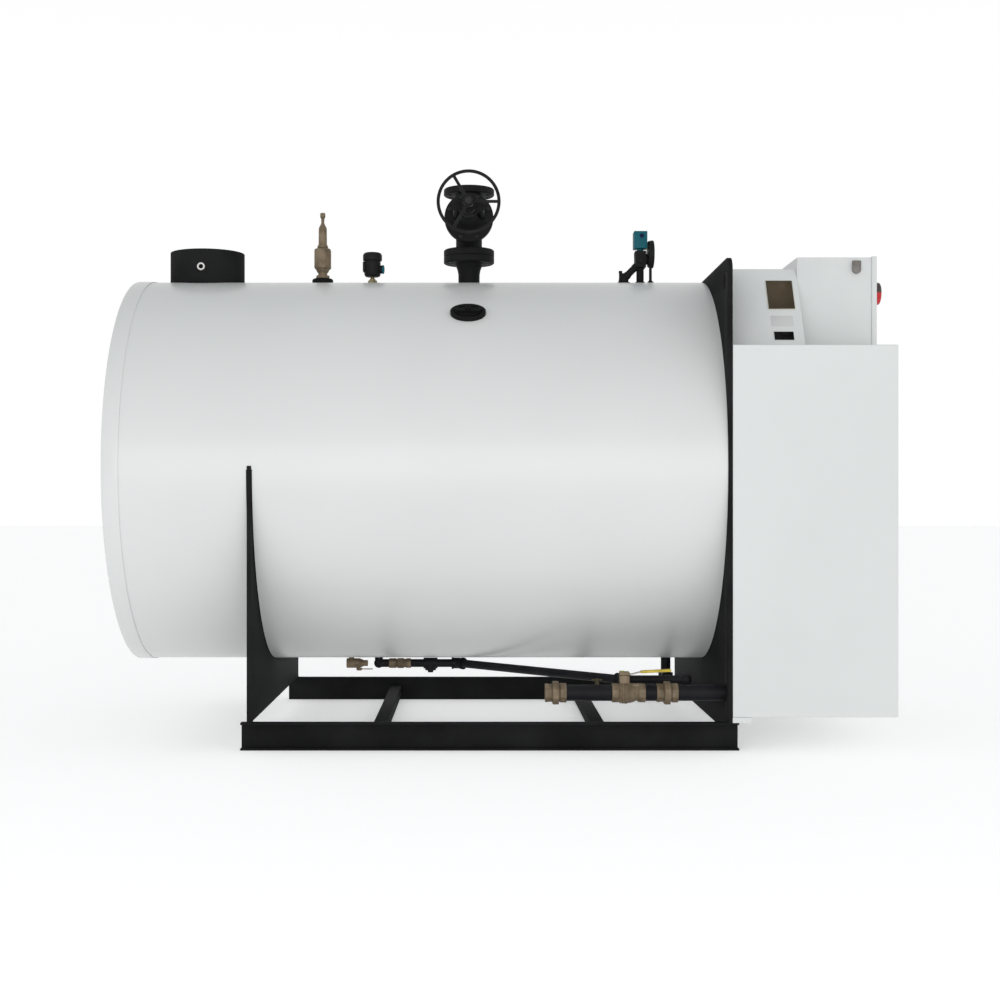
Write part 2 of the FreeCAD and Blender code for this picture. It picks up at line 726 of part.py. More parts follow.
def build_steam_valve():
    flange_top = "valve_top - flange_thick"
    pieces = [
        rod("valve_low_flange", "flange_radius", "flange_thick", ("steam_x", "0", "valve_foot")),
        rod("valve_neck_rod", "valve_neck", "valve_length", ("steam_x", "0", "valve_foot")),
        rod("valve_top_flange", "flange_radius", "flange_thick", ("steam_x", "0", flange_top)),
        ball("valve_belly_ball", "valve_belly", ("steam_x", "0", "valve_height")),
        rod("valve_branch_rod", "valve_branch", "bonnet_reach",
            ("steam_x", "0", "valve_height"), (0, -1, 0)),
        rod("valve_branch_flange", "bonnet_flange", "bonnet_thick",
            ("steam_x", "-bonnet_reach + bonnet_thick", "valve_height"), (0, -1, 0)),
    ]
    holes = bolt_holes("valve_low", ("steam_x", "0", "valve_foot"))
    holes += bolt_holes("valve_top", ("steam_x", "0", flange_top))
    holes.append(rod("valve_bore", "steam_bore", "valve_bore_depth",
                     ("steam_x", "0", "valve_top - valve_bore_depth")))
    node("steam_valve_body", cut("steam_valve_body", fuse("valve_blank", pieces), holes))

    steps = [("bonnet_flange", "bonnet_flange", "bonnet_thick"),
             ("bonnet_flare", "bonnet_neck", "bonnet_flare_length"),
             ("bonnet_neck", "bonnet_neck_top", "bonnet_neck_length"),
             ("gland_radius", "gland_radius", "gland_length")]
    pieces = [turned("bonnet_turning", steps, ("steam_x", "-bonnet_reach", "valve_height"),
                     (0, -1, 0))]
    for side, sign in (("left", "-"), ("right", "+")):
        pieces.append(rod("yoke_arm_" + side, "yoke_bar", "yoke_reach - bonnet_top",
                          ("steam_x %s yoke_spread" % sign, "-bonnet_top", "valve_height"),
                          (0, -1, 0)))
    pieces.append(block("yoke_bridge", ("2 * (yoke_spread + yoke_bar)", "2 * yoke_bar",
                                        "yoke_bridge_height"),
                        ("steam_x - yoke_spread - yoke_bar", "-yoke_reach",
                         "valve_height - yoke_bridge_height / 2")))
    pieces.append(rod("yoke_hub_rod", "yoke_hub", "yoke_hub_length",
                      ("steam_x", "-yoke_reach + 2 * yoke_bar", "valve_height"), (0, -1, 0)))
    bore = rod("bonnet_stem_bore", "stem_radius + stem_bore_gap", "yoke_reach",
               ("steam_x", "-stem_start", "valve_height"), (0, -1, 0))
    node("steam_valve_bonnet", cut("steam_valve_bonnet", fuse("bonnet_blank", pieces), [bore]))

    nut_place = "wheel_reach + wheel_hub_length / 2 + stem_bore_gap"
    shaft = rod("stem_shaft", "stem_radius", nut_place + " - stem_start",
                ("steam_x", "-stem_start", "valve_height"), (0, -1, 0))
    nut = rod("stem_nut", "wheel_nut", "wheel_nut_length",
              ("steam_x", "-(%s)" % nut_place, "valve_height"), (0, -1, 0))
    node("steam_valve_stem", fuse("steam_valve_stem", [shaft, nut]))


def build_handwheel():
    rim = doc.addObject("Part::Torus", "wheel_rim_ring")
    rim.setExpression("Radius1", sized("wheel_radius"))
    rim.setExpression("Radius2", sized("wheel_rim"))
    place(rim, ("steam_x", "-wheel_reach", "valve_height"), (0, -1, 0))
    hub = rod("wheel_hub_rod", "wheel_hub", "wheel_hub_length",
              ("steam_x", "-wheel_back", "valve_height"), (0, -1, 0))
    spokes = []
    for step in range(3):
        angle = math.radians(120 * step)
        spokes.append(rod("wheel_spoke_%d" % step, "wheel_spoke", "wheel_radius",
                          ("steam_x", "-wheel_reach", "valve_height"),
                          (math.cos(angle), 0, math.sin(angle))))
    bore = rod("wheel_bore", "stem_radius + stem_bore_gap", "wheel_hub_length",
               ("steam_x", "-wheel_back", "valve_height"), (0, -1, 0))
    wheel = fuse("wheel_blank", [rim, hub] + spokes)
    node("steam_valve_handwheel", cut("steam_valve_handwheel", wheel, [bore]))


def build_pressure_controls():
    low = "drum_top - sink"
    pieces = [
        rod("riser_pipe", "manifold_riser", "manifold_block_rise + sink",
            ("manifold_x", "0", low)),
        rod("riser_foot", "manifold_foot", "manifold_foot_rise + sink",
            ("manifold_x", "0", low)),
        block("manifold_block", ("manifold_block_width", "manifold_block_depth",
                                 "manifold_block_height"),
              ("manifold_x - manifold_block_width / 2", "-manifold_block_depth / 2",
               "drum_top + manifold_block_rise")),
        rod("cutoff_base_disc", "cutoff_base", "cutoff_base_rise + sink",
            ("cutoff_x", "0", low)),
        cone("cutoff_cone", "cutoff_body", "cutoff_top", "cutoff_rise",
             ("cutoff_x", "0", "drum_top")),
        rod("cutoff_stub_rod", "cutoff_stub", "cutoff_stub_rise",
            ("cutoff_x - cutoff_stub_back", "0", "drum_top")),
        rod("cutoff_link_rod", "cutoff_link", "cutoff_spacing * sqrt(2)",
            ("cutoff_x", "0", "drum_top + cutoff_rise / 2"), (1, 0, 1)),
    ]
    node("pressure_manifold", cut("pressure_manifold", fuse("manifold_blank", pieces), [drum]))

    neck = rod("transmitter_neck_rod", "transmitter_neck", "transmitter_neck_length",
               ("manifold_x", "0", "manifold_top"))
    case = block("transmitter_case", ("transmitter_width", "transmitter_depth",
                                      "transmitter_height"),
                 ("manifold_x - transmitter_width / 2", "-transmitter_depth / 2",
                  "manifold_top + transmitter_neck_length"))
    node("pressure_transmitter", fuse("pressure_transmitter", [neck, case]))

    gauge_at = ("gauge_back", "0", "gauge_height")
    node("pressure_gauge", turned("pressure_gauge",
                                  [("gauge_radius", "gauge_radius",
                                    "gauge_thick - gauge_chamfer"),
                                   ("gauge_radius", "gauge_radius - gauge_chamfer",
                                    "gauge_chamfer")], gauge_at, (1, 0, 0)))
    leg = rod("gauge_leg_rod", "gauge_leg", "gauge_rise + sink", ("gauge_x", "0", low))
    foot = cone("gauge_foot_cone", "gauge_foot", "gauge_leg", "gauge_foot_rise + sink",
                ("gauge_x", "0", low))
    case = rod("gauge_seat", "gauge_radius + seat_gap", "gauge_thick", gauge_at, (1, 0, 0))
    node("gauge_siphon", cut("gauge_siphon", fuse("gauge_siphon_blank", [leg, foot]),
                             [drum, case]))


# ---------------------------------------------------------------- burner end

def rounded(name, piece, count):
    fillet = doc.addObject("Part::Fillet", name)
    fillet.Base = piece
    size = SIZES["cabinet_round"]
    fillet.Edges = [(edge, size, size) for edge in range(1, count + 1)]
    return fillet


def build_cabinet():
    case = block("cabinet_case", ("cabinet_length", "2 * half_width", "cabinet_height"),
                 ("plate_out", "-half_width", "cabinet_rise"))
    doc.recompute()
    node("burner_cabinet", rounded("burner_cabinet", case, 12))

    housing = block("housing_case", ("housing_length", "2 * housing_half_width",
                                     "housing_height"),
                    ("housing_x", "-housing_half_width", "cabinet_top"))
    node("upper_housing", housing)
    lip = "cover_panel_proud"
    panel = block("panel_case", ("cover_panel", "2 * (housing_half_width + %s)" % lip,
                                 "housing_height + " + lip),
                  ("housing_x + housing_length", "-(housing_half_width + %s)" % lip,
                   "cabinet_top"))
    node("housing_cover_panel", panel)

    side = [("-console_foot", "cabinet_top"),
            ("-console_top_front", "console_top"),
            ("housing_half_width", "console_top"),
            ("housing_half_width", "cabinet_top")]
    node("control_console", padded("control_console", "YZ_Plane", side, "console_length",
                                   ("plate_out", "0", "0")))


def build_console_details():
    # The screen lies on the console's leaning face.
    lean = "atan(face_slope)"
    screen = doc.addObject("Part::Box", "operator_screen")
    screen.setExpression("Length", sized("screen_width"))
    screen.setExpression("Width", sized("screen_thick"))
    screen.setExpression("Height", sized("screen_height"))
    face_y = "-(housing_half_width + (console_bend - screen_foot) * face_slope)"
    place(screen, ("plate_out + screen_x - screen_width / 2",
                   face_y + " - screen_thick * cos(%s)" % lean,
                   "screen_foot + screen_thick * sin(%s)" % lean))
    screen.Placement.Rotation = FreeCAD.Rotation(FreeCAD.Vector(1, 0, 0), -90)
    screen.setExpression("Placement.Rotation.Angle", sized("-(%s)" % lean))
    node("operator_screen", screen)

    plate = block("latch_plate", ("latch_width", "latch_thick", "latch_height - latch_width / 2"),
                  ("latch_x - latch_width / 2", "-housing_half_width - latch_thick",
                   "latch_middle"))
    tip = rod("latch_tip", "latch_width / 2", "latch_thick",
              ("latch_x", "-housing_half_width", "latch_middle"), (0, -1, 0))
    node("cover_latch", fuse("cover_latch", [plate, tip]))

    steps = [("lamp_radius", "lamp_radius", "lamp_bezel"),
             ("lamp_radius", "lamp_dome_top", "lamp_bulge - lamp_bezel - lamp_crown_height"),
             ("lamp_dome_top", "lamp_crown", "lamp_crown_height")]
    node("indicator_lamp", turned("indicator_lamp", steps,
                                  ("cabinet_end", "-housing_half_width + lamp_inset",
                                   "housing_top - lamp_drop"), (1, 0, 0)))


def build_brackets():
    pieces = []
    for side, sign in (("left", "-"), ("right", "")):
        edge = "-half_width" if sign else "half_width - bracket_width"
        bar = block("bracket_bar_" + side, ("bracket_length - bracket_height / 2",
                                            "bracket_width", "bracket_height"),
                    ("plate_out", edge, "rail_height"))
        nose = rod("bracket_nose_" + side, "bracket_height / 2", "bracket_width",
                   ("plate_out + bracket_length - bracket_height / 2", edge,
                    "rail_height + bracket_height / 2"), (0, 1, 0))
        pieces.append(fuse("bracket_" + side, [bar, nose]))
    node("cabinet_brackets", fuse("cabinet_brackets", pieces))


# ---------------------------------------------------------------- pipework

def build_drain():
    up = "drum_bottom - drain_height + sink"
    # rear leg: from the shell down through an elbow to the union
    start = ("riser_x", "0", "drain_height")
    pieces = [rod("riser_pipe_down", "drain_pipe", up, start),
              rod("riser_pipe_along", "drain_pipe", "riser_run", start, (1, 0, 0)),
              ball("riser_elbow", "drain_elbow", start)]
    node("drain_riser", cut("drain_riser", fuse("drain_riser_blank", pieces), [drum]))

    edge = "drain_union_radius - drain_union_chamfer"
    steps = [(edge, "drain_union_radius", "drain_union_chamfer"),
             ("drain_union_radius", "drain_union_radius",
              "drain_union_length - 2 * drain_union_chamfer"),
             ("drain_union_radius", edge, "drain_union_chamfer")]
    node("drain_union", turned("drain_union", steps, ("drain_union_x", "0", "drain_height"),
                               (1, 0, 0)))

    # header: tee with a plug, 45-degree elbows and the long slanting pipe
    tee = ("tee_x", "0", "drain_height")
    bend = ("bend_x", "0", "drain_height")
    near = ("turn_x", "-drain_reach", "drain_height")
    last = ("drop_x", "-drain_reach", "drain_height")
    low = ("drop_x", "-drain_reach", "drain_foot")
    pieces = [
        rod("header_first_pipe", "drain_pipe", "bend_x - drain_union_end",
            ("drain_union_end", "0", "drain_height"), (1, 0, 0)),
        rod("header_tee", "drain_socket", "2 * drain_socket_length",
            ("tee_x - drain_socket_length", "0", "drain_height"), (1, 0, 0)),
        rod("header_tee_branch", "drain_socket", "drain_socket_length", tee, (0, 0, -1)),
        rod("header_tee_plug", "drain_plug", "drain_socket_length + drain_plug_length", tee,
            (0, 0, -1)),
        rod("header_slant", "drain_pipe", "drain_reach * sqrt(2)", bend, (1, -1, 0)),
        rod("header_near_pipe", "drain_pipe", "drop_x - turn_x", near, (1, 0, 0)),
        rod("header_short_drop", "drain_pipe", "drain_height - drain_foot", last, (0, 0, -1)),
        ball("header_last_ball", "drain_socket", last),
        ball("header_low_ball", "drain_socket", low),
    ]
    pieces += elbow("header_bend", bend, (-1, 0, 0), (1, -1, 0))
    pieces += elbow("header_turn", near, (-1, 1, 0), (1, 0, 0))
    node("drain_header", fuse("drain_header", pieces))

    # front leg: from the shell down to a tee, then across under the drum to the header
    foot = ("drop_x", "0", "drain_foot")
    pieces = [
        rod("drop_pipe", "drop_radius", "drum_bottom - drain_foot + sink", foot),
        rod("drop_tee", "drop_socket", "2 * drop_socket_rise",
            ("drop_x", "0", "drain_foot - drop_socket_rise")),
        rod("drop_cross_pipe", "drain_pipe", "drain_reach", foot, (0, -1, 0)),
        rod("drop_cross_socket", "drop_branch", "drop_branch_length", foot, (0, -1, 0)),
    ]
    seats = [drum, ball("drop_ball_seat", "drain_socket + seat_gap", low),
             rod("drop_pipe_seat", "drain_pipe + seat_gap", "drain_height - drain_foot", low)]
    node("drain_drop", cut("drain_drop", fuse("drain_drop_blank", pieces), seats))

    # bronze drain cock on its own nipple under the rear of the shell
    steps = [("cock_radius", "cock_radius", "cock_length"),
             ("cock_radius", "cock_spout", "cock_taper_length"),
             ("cock_spout", "cock_spout", "cock_spout_length")]
    stem_x = "cock_x + cock_stem_back"
    pieces = [turned("cock_turning", steps, ("cock_x", "0", "drain_height"), (1, 0, 0)),
              rod("cock_nipple_rod", "cock_nipple", up,
                  ("cock_x + cock_radius", "0", "drain_height")),
              rod("cock_stem_rod", "cock_stem", "cock_stem_drop",
                  (stem_x, "0", "drain_height"), (0, 0, -1)),
              block("cock_lever", ("cock_lever_length", "cock_lever_width",
                                   "cock_lever_thick"),
                    (stem_x + " - cock_lever_width / 2", "-cock_lever_width / 2",
                     "drain_height - cock_lever_drop"))]
    cock_end = "cock_x + cock_length + cock_taper_length + cock_spout_length"
    bore = rod("cock_bore_rod", "cock_bore", "cock_bore_depth",
               (cock_end + " - cock_bore_depth", "0", "drain_height"), (1, 0, 0))
    node("drain_valve", cut("drain_valve", fuse("drain_valve_blank", pieces), [drum, bore]))


def build_gas_line():
    def run(name, start, end):
        return rod(name, "gas_pipe", "(%s) - (%s)" % (end, start),
                   (start, "gas_y", "gas_height"), (1, 0, 0))

    inlet = "plate_in - union_inlet_setback"
    burner = "plate_in - union_burner_setback"
    pipes = [run("gas_run_inlet", inlet + " + union_length", "ball_valve_x"),
             run("gas_run_middle", "ball_valve_x + ball_valve_length", burner),
             run("gas_run_burner", burner + " + union_length", "plate_out")]
    node("gas_pipes", fuse("gas_pipes", pipes))

    half = "(union_length - union_nut_length) / 2"
    for name, start in (("gas_union_inlet", inlet), ("gas_union_burner", burner)):
        at = (start, "gas_y", "gas_height")
        steps = [("union_radius", "union_radius", half),
                 ("gas_pipe + union_nut_wall", "gas_pipe + union_nut_wall",
                  "union_nut_length"),
                 ("gas_pipe + union_tail_wall", "gas_pipe + union_tail_wall", half)]
        bore = rod(name + "_bore", "gas_pipe - gas_wall", "union_length - union_stop", at,
                   (1, 0, 0))
        node(name, cut(name, turned(name + "_turning", steps, at, (1, 0, 0)), [bore]))

    socket = ("ball_valve_socket", "ball_valve_socket", "ball_valve_socket_length")
    waist = "ball_valve_socket - ball_valve_waist"
    back = "ball_valve_length - 2 * ball_valve_socket_length"
    steps = [socket,
             (waist, "ball_valve_body", "ball_valve_front"),
             ("ball_valve_body", "ball_valve_body", "ball_valve_middle"),
             ("ball_valve_body", waist, back + " - ball_valve_front - ball_valve_middle"),
             socket]
    at = ("ball_valve_stem_x", "gas_y", "gas_height")
    pieces = [turned("ball_valve_turning", steps, ("ball_valve_x", "gas_y", "gas_height"),
                     (1, 0, 0)),
              rod("ball_valve_boss_rod", "ball_valve_boss",
                  "ball_valve_boss_top - gas_height", at),
              rod("ball_valve_stem_rod", "ball_valve_stem",
                  "ball_valve_boss_top - gas_height + ball_valve_stem_rise", at)]
    node("gas_ball_valve", fuse("gas_ball_valve", pieces))

    # lever and grip turn about the valve's stem
    bar = block("lever_bar", ("lever_length", "lever_width", "lever_thick"),
                ("lever_end - lever_length", "gas_y - lever_width / 2", "lever_seat"))
    hole = rod("lever_hole", "ball_valve_stem + lever_gap", "lever_thick",
               ("ball_valve_stem_x", "gas_y", "lever_seat"))
    node("gas_valve_lever", cut("gas_valve_lever", bar, [hole]))
    grip_start = "lever_end + grip_end - grip_length"
    grip = block("grip_case", ("grip_length", "grip_width", "grip_height"),
                 (grip_start, "gas_y - grip_width / 2",
                  "lever_seat + lever_thick / 2 - grip_height / 2"))
    slot = block("grip_slot", ("grip_length - grip_end", "lever_width", "lever_thick"),
                 (grip_start, "gas_y - lever_width / 2", "lever_seat"))
    node("gas_valve_grip", cut("gas_valve_grip", grip, [slot]))


def build_petcock():
    seat = rod("petcock_pipe_seat", "gas_pipe + seat_gap", "4 * petcock_body",
               ("petcock_x - 2 * petcock_body", "gas_y", "gas_height"), (1, 0, 0))
    low = ("petcock_x", "gas_y", "pipe_top - petcock_shank")
    body = rod("petcock_body_rod", "petcock_body", "petcock_rise + petcock_shank", low)
    stem = rod("petcock_stem_rod", "petcock_stem",
               "petcock_shank + petcock_rise + petcock_handle_rise / 2", low)
    node("gas_petcock", cut("gas_petcock", fuse("petcock_blank", [body, stem]), [seat]))

    bar = rod("petcock_handle_bar", "petcock_handle_radius", "petcock_handle",
              ("petcock_x - petcock_handle / 2", "gas_y",
               "petcock_top + petcock_handle_rise / 2"), (1, 0, 0))
    hub = rod("petcock_handle_hub", "petcock_hub", "petcock_handle_rise - lever_gap",
              ("petcock_x", "gas_y", "petcock_top + lever_gap"))
    hole = rod("petcock_handle_hole", "petcock_stem + lever_gap",
               "petcock_handle_rise / 2 + lever_gap", ("petcock_x", "gas_y", "petcock_top"))
    blank = fuse("petcock_handle_blank", [bar, hub])
    node("petcock_handle", cut("petcock_handle", blank, [hole]))


build_skid()
build_saddle()
build_front_plate()
build_vessel()
build_vent()
build_handhole()
build_safety_valve()
build_probe()
build_steam_outlet()
build_steam_valve()
build_handwheel()
build_pressure_controls()
build_cabinet()
build_console_details()
build_brackets()
build_drain()
build_gas_line()
build_petcock()
doc.recompute()

for item in doc.Objects:
    if "Invalid" in item.State or "Error" in item.State:
        raise RuntimeError("object failed: " + item.Name + " " + str(item.State))
for name, piece in nodes.items():
    if piece.Shape.isNull() or not piece.Shape.isValid():
        raise RuntimeError("bad shape: " + name)

os.makedirs("parts", exist_ok=True)
for name, piece in nodes.items():
    piece.Shape.exportStep("parts/" + name + ".step")
    box = piece.Shape.BoundBox
    print("%-24s solids %d  x %.1f..%.1f  y %.1f..%.1f  z %.1f..%.1f" % (
        name, len(piece.Shape.Solids), box.XMin, box.XMax, box.YMin, box.YMax,
        box.ZMin, box.ZMax))
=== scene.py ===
import bpy
import json
import math
from mathutils import Matrix, Vector

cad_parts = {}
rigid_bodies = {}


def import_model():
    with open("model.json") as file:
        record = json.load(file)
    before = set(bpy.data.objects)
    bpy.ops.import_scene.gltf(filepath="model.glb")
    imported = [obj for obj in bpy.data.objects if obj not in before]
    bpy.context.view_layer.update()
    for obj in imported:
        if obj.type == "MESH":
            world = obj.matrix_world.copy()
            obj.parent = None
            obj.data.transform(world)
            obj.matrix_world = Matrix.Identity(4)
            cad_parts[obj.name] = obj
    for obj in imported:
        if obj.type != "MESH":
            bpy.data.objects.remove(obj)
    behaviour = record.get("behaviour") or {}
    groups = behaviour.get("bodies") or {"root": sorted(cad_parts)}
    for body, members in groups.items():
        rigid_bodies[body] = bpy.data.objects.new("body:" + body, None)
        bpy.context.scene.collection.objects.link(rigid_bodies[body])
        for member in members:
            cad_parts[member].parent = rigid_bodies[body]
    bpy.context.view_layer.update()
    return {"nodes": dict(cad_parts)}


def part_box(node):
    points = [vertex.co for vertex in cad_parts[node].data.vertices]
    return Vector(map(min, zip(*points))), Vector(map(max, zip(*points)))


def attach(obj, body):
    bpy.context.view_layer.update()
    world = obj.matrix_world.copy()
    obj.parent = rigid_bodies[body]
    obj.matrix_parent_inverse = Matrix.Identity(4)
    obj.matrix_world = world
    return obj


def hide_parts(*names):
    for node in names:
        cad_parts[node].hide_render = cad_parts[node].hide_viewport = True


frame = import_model()
cad = frame["nodes"]


# ---------------------------------------- the camera
# A level camera stands in front of the drum, left of the middle of the skid and a
# little under a metre above the floor, with a longish lens and a small shift.

CAMERA_PLACE = (-0.0962, -6.554, 0.9037)
bpy.ops.object.camera_add(location=CAMERA_PLACE, rotation=(math.radians(90), 0, 0))
camera = bpy.context.object
camera.data.sensor_width = 36.0
camera.data.lens = 56.63
camera.data.shift_x = 0.0255
camera.data.shift_y = 0.0045
camera.data.clip_end = 200.0
bpy.context.scene.camera = camera


# ---------------------------------------- the studio
# A wide pale floor that rolls off into a white room. The room is brightest at eye
# level, and one broad soft panel behind the camera lifts the front of the drum.

FLOOR_SIZE = 120.0
ROOM_WHITE = (1.0, 1.0, 1.0, 1.0)
ROOM_ABOVE = (0.50, 0.51, 0.52, 1.0)

bpy.ops.object.select_all(action="DESELECT")
bpy.ops.mesh.primitive_plane_add(size=FLOOR_SIZE, location=(0, 0, 0))
floor = bpy.context.object
floor.name = "floor"
floor_finish = bpy.data.materials.new("pale_floor")
floor_finish.use_nodes = True
floor_shader = floor_finish.node_tree.nodes["Principled BSDF"]
floor_shader.inputs["Base Color"].default_value = (0.93, 0.93, 0.93, 1)
floor_shader.inputs["Roughness"].default_value = 0.9
floor_shader.inputs["Specular IOR Level"].default_value = 0.1
floor_shader.inputs["Emission Color"].default_value = (1, 1, 1, 1)
floor_shader.inputs["Emission Strength"].default_value = 0.30
floor.data.materials.append(floor_finish)

room = bpy.data.worlds.new("white_room")
room.use_nodes = True
bpy.context.scene.world = room
nodes, links = room.node_tree.nodes, room.node_tree.links
direction = nodes.new("ShaderNodeTexCoord")
split = nodes.new("ShaderNodeSeparateXYZ")
links.new(direction.outputs["Generated"], split.inputs[0])
height = nodes.new("ShaderNodeMapRange")
height.interpolation_type = "SMOOTHSTEP"
height.inputs["From Min"].default_value = 0.25
height.inputs["From Max"].default_value = 0.95
links.new(split.outputs["Z"], height.inputs["Value"])
tone = nodes.new("ShaderNodeMix")
tone.data_type = "RGBA"
tone.inputs["A"].default_value = ROOM_WHITE
tone.inputs["B"].default_value = ROOM_ABOVE
links.new(height.outputs["Result"], tone.inputs["Factor"])
links.new(tone.outputs["Result"], nodes["Background"].inputs["Color"])
nodes["Background"].inputs["Strength"].default_value = 1.0

bpy.ops.object.light_add(type="AREA", location=(-0.5, -9.0, 1.6),
    rotation=(math.radians(88), 0, 0))
panel = bpy.context.object
panel.data.shape = "RECTANGLE"
panel.data.size = 7.0
panel.data.size_y = 3.0
panel.data.energy = 160.0

bpy.context.scene.view_settings.view_transform = "Standard"
bpy.context.scene.view_settings.look = "None"


# ---------------------------------------- the skid
# Two channel rails and two square cross tubes of mild steel, welded into a ladder and
# sprayed satin black. Weld beads run where the tubes and the plates meet the rails.


def paint(name, dark, light, rough, tone_scale, grain_scale, grain, metal=0.0,
          gloss=0.5, coat=0.0, stretch=(1, 1, 1)):
    """A finish whose tone, roughness and fine relief all come from noise on the piece."""
    made = bpy.data.materials.new(name)
    made.use_nodes = True
    tree = made.node_tree
    shader = tree.nodes["Principled BSDF"]
    shader.inputs["Metallic"].default_value = metal
    shader.inputs["Specular IOR Level"].default_value = gloss
    shader.inputs["Coat Weight"].default_value = coat
    shader.inputs["Coat Roughness"].default_value = 0.12
    place = tree.nodes.new("ShaderNodeTexCoord")
    turn = tree.nodes.new("ShaderNodeMapping")
    turn.inputs["Scale"].default_value = stretch
    tree.links.new(place.outputs["Object"], turn.inputs["Vector"])
    cloud = tree.nodes.new("ShaderNodeTexNoise")
    cloud.name = "cloud"
    cloud.inputs["Scale"].default_value = tone_scale
    cloud.inputs["Detail"].default_value = 6
    tree.links.new(turn.outputs["Vector"], cloud.inputs["Vector"])
    colour = tree.nodes.new("ShaderNodeValToRGB")
    colour.name = "tone"
    colour.color_ramp.elements[0].position = 0.35
    colour.color_ramp.elements[0].color = (*dark, 1)
    colour.color_ramp.elements[1].position = 0.65
    colour.color_ramp.elements[1].color = (*light, 1)
    tree.links.new(cloud.outputs["Fac"], colour.inputs["Fac"])
    tree.links.new(colour.outputs["Color"], shader.inputs["Base Color"])
    polish = tree.nodes.new("ShaderNodeMapRange")
    polish.inputs["To Min"].default_value = rough - 0.07
    polish.inputs["To Max"].default_value = rough + 0.07
    tree.links.new(cloud.outputs["Fac"], polish.inputs["Value"])
    tree.links.new(polish.outputs["Result"], shader.inputs["Roughness"])
    speck = tree.nodes.new("ShaderNodeTexNoise")
    speck.inputs["Scale"].default_value = grain_scale
    speck.inputs["Detail"].default_value = 4
    tree.links.new(turn.outputs["Vector"], speck.inputs["Vector"])
    relief = tree.nodes.new("ShaderNodeBump")
    relief.inputs["Strength"].default_value = grain
    relief.inputs["Distance"].default_value = 0.001
    tree.links.new(speck.outputs["Fac"], relief.inputs["Height"])
    tree.links.new(relief.outputs["Normal"], shader.inputs["Normal"])
    return made


def pick(piece):
    """Select this piece alone."""
    bpy.ops.object.select_all(action="DESELECT")
    piece.select_set(True)
    bpy.context.view_layer.objects.active = piece


def baked(piece):
    """Write a piece's place, turn and size into its own mesh."""
    pick(piece)
    bpy.ops.object.transform_apply(location=True, rotation=True, scale=True)
    return piece


def smoothed(piece, angle=30):
    """Shade the curved faces smooth and leave the sharp edges sharp."""
    pick(piece)
    bpy.ops.object.shade_smooth_by_angle(angle=math.radians(angle))
    return piece


def eased(piece, width, segments=2):
    """Round the sharp edges and shade the curved faces smooth."""
    pick(piece)
    rounding = piece.modifiers.new("rounding", "BEVEL")
    rounding.width = width
    rounding.segments = segments
    rounding.limit_method = "ANGLE"
    rounding.angle_limit = math.radians(30)
    bpy.ops.object.modifier_apply(modifier="rounding")
    return smoothed(piece)


def fitted(piece, name, finish, node=None, body="boiler"):
    """Name a finished piece, give it its finish, and fix it to its body."""
    baked(piece)
    piece.name = name
    piece.data.name = name
    piece.data.materials.clear()
    piece.data.materials.append(finish)
    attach(piece, body)
    if node:
        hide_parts(node)
    return piece


def softened(node, name, width, finish):
    """The CAD piece's own shape with its flat faces joined up and its edges rounded."""
    pick(cad[node])
    bpy.ops.object.duplicate(linked=False)
    piece = bpy.context.object
    bpy.ops.object.parent_clear(type="CLEAR_KEEP_TRANSFORM")
    bpy.ops.object.mode_set(mode="EDIT")
    bpy.ops.mesh.select_all(action="SELECT")
    bpy.ops.mesh.remove_doubles(threshold=0.00002)
    bpy.ops.mesh.dissolve_limited(angle_limit=math.radians(0.6))
    bpy.ops.object.mode_set(mode="OBJECT")
    if piece.data.has_custom_normals:
        bpy.ops.mesh.customdata_custom_splitnormals_clear()
    eased(piece, width)
    return fitted(piece, name, finish, node)


def drawn(piece):
    """End the drawing of a piece: its faces turned outwards and its place in its mesh."""
    bpy.ops.mesh.select_all(action="SELECT")
    bpy.ops.mesh.normals_make_consistent(inside=False)
    bpy.ops.object.mode_set(mode="OBJECT")
    return baked(piece)


def turned(steps, sides=48):
    """A disc drawn out along its own axis, ring by ring: steps are (along, radius)."""
    bpy.ops.object.select_all(action="DESELECT")
    along, radius = steps[0]
    bpy.ops.mesh.primitive_circle_add(vertices=sides, radius=radius, fill_type="NGON",
        location=(0, 0, along))
    piece = bpy.context.object
    bpy.ops.object.mode_set(mode="EDIT")
    bpy.ops.mesh.select_all(action="SELECT")
    for next_along, next_radius in steps[1:]:
        draw = {"value": (0, 0, next_along - along)}
        bpy.ops.mesh.extrude_region_move(TRANSFORM_OT_translate=draw)
        size = next_radius / radius
        bpy.ops.transform.resize(value=(size, size, 1), center_override=(0, 0, 0))
        along, radius = next_along, next_radius
    return drawn(piece)


def stood(piece, at, aim=(0, 0, 1), turn=0.0):
    """Stand a piece at its place with its own axis along aim."""
    lean = Vector((0, 0, 1)).rotation_difference(Vector(aim)).to_matrix().to_4x4()
    spin = Matrix.Rotation(math.radians(turn), 4, "Z")
    piece.matrix_world = Matrix.Translation(at) @ lean @ spin
    return baked(piece)


def block(low, high, width=0.001, segments=2):
    """A rectangular piece between two corners, with its edges eased."""
    middle = [(a + b) / 2 for a, b in zip(low, high)]
    size = [b - a for a, b in zip(low, high)]
    bpy.ops.object.select_all(action="DESELECT")
    bpy.ops.mesh.primitive_cube_add(size=1, location=middle, scale=size)
    return eased(baked(bpy.context.object), width, segments)


def joined(pieces):
    """Several closed pieces of one part made into one object."""
    bpy.ops.object.select_all(action="DESELECT")
    for piece in pieces:
        piece.select_set(True)
    bpy.context.view_layer.objects.active = pieces[0]
    bpy.ops.object.join()
    return pieces[0]


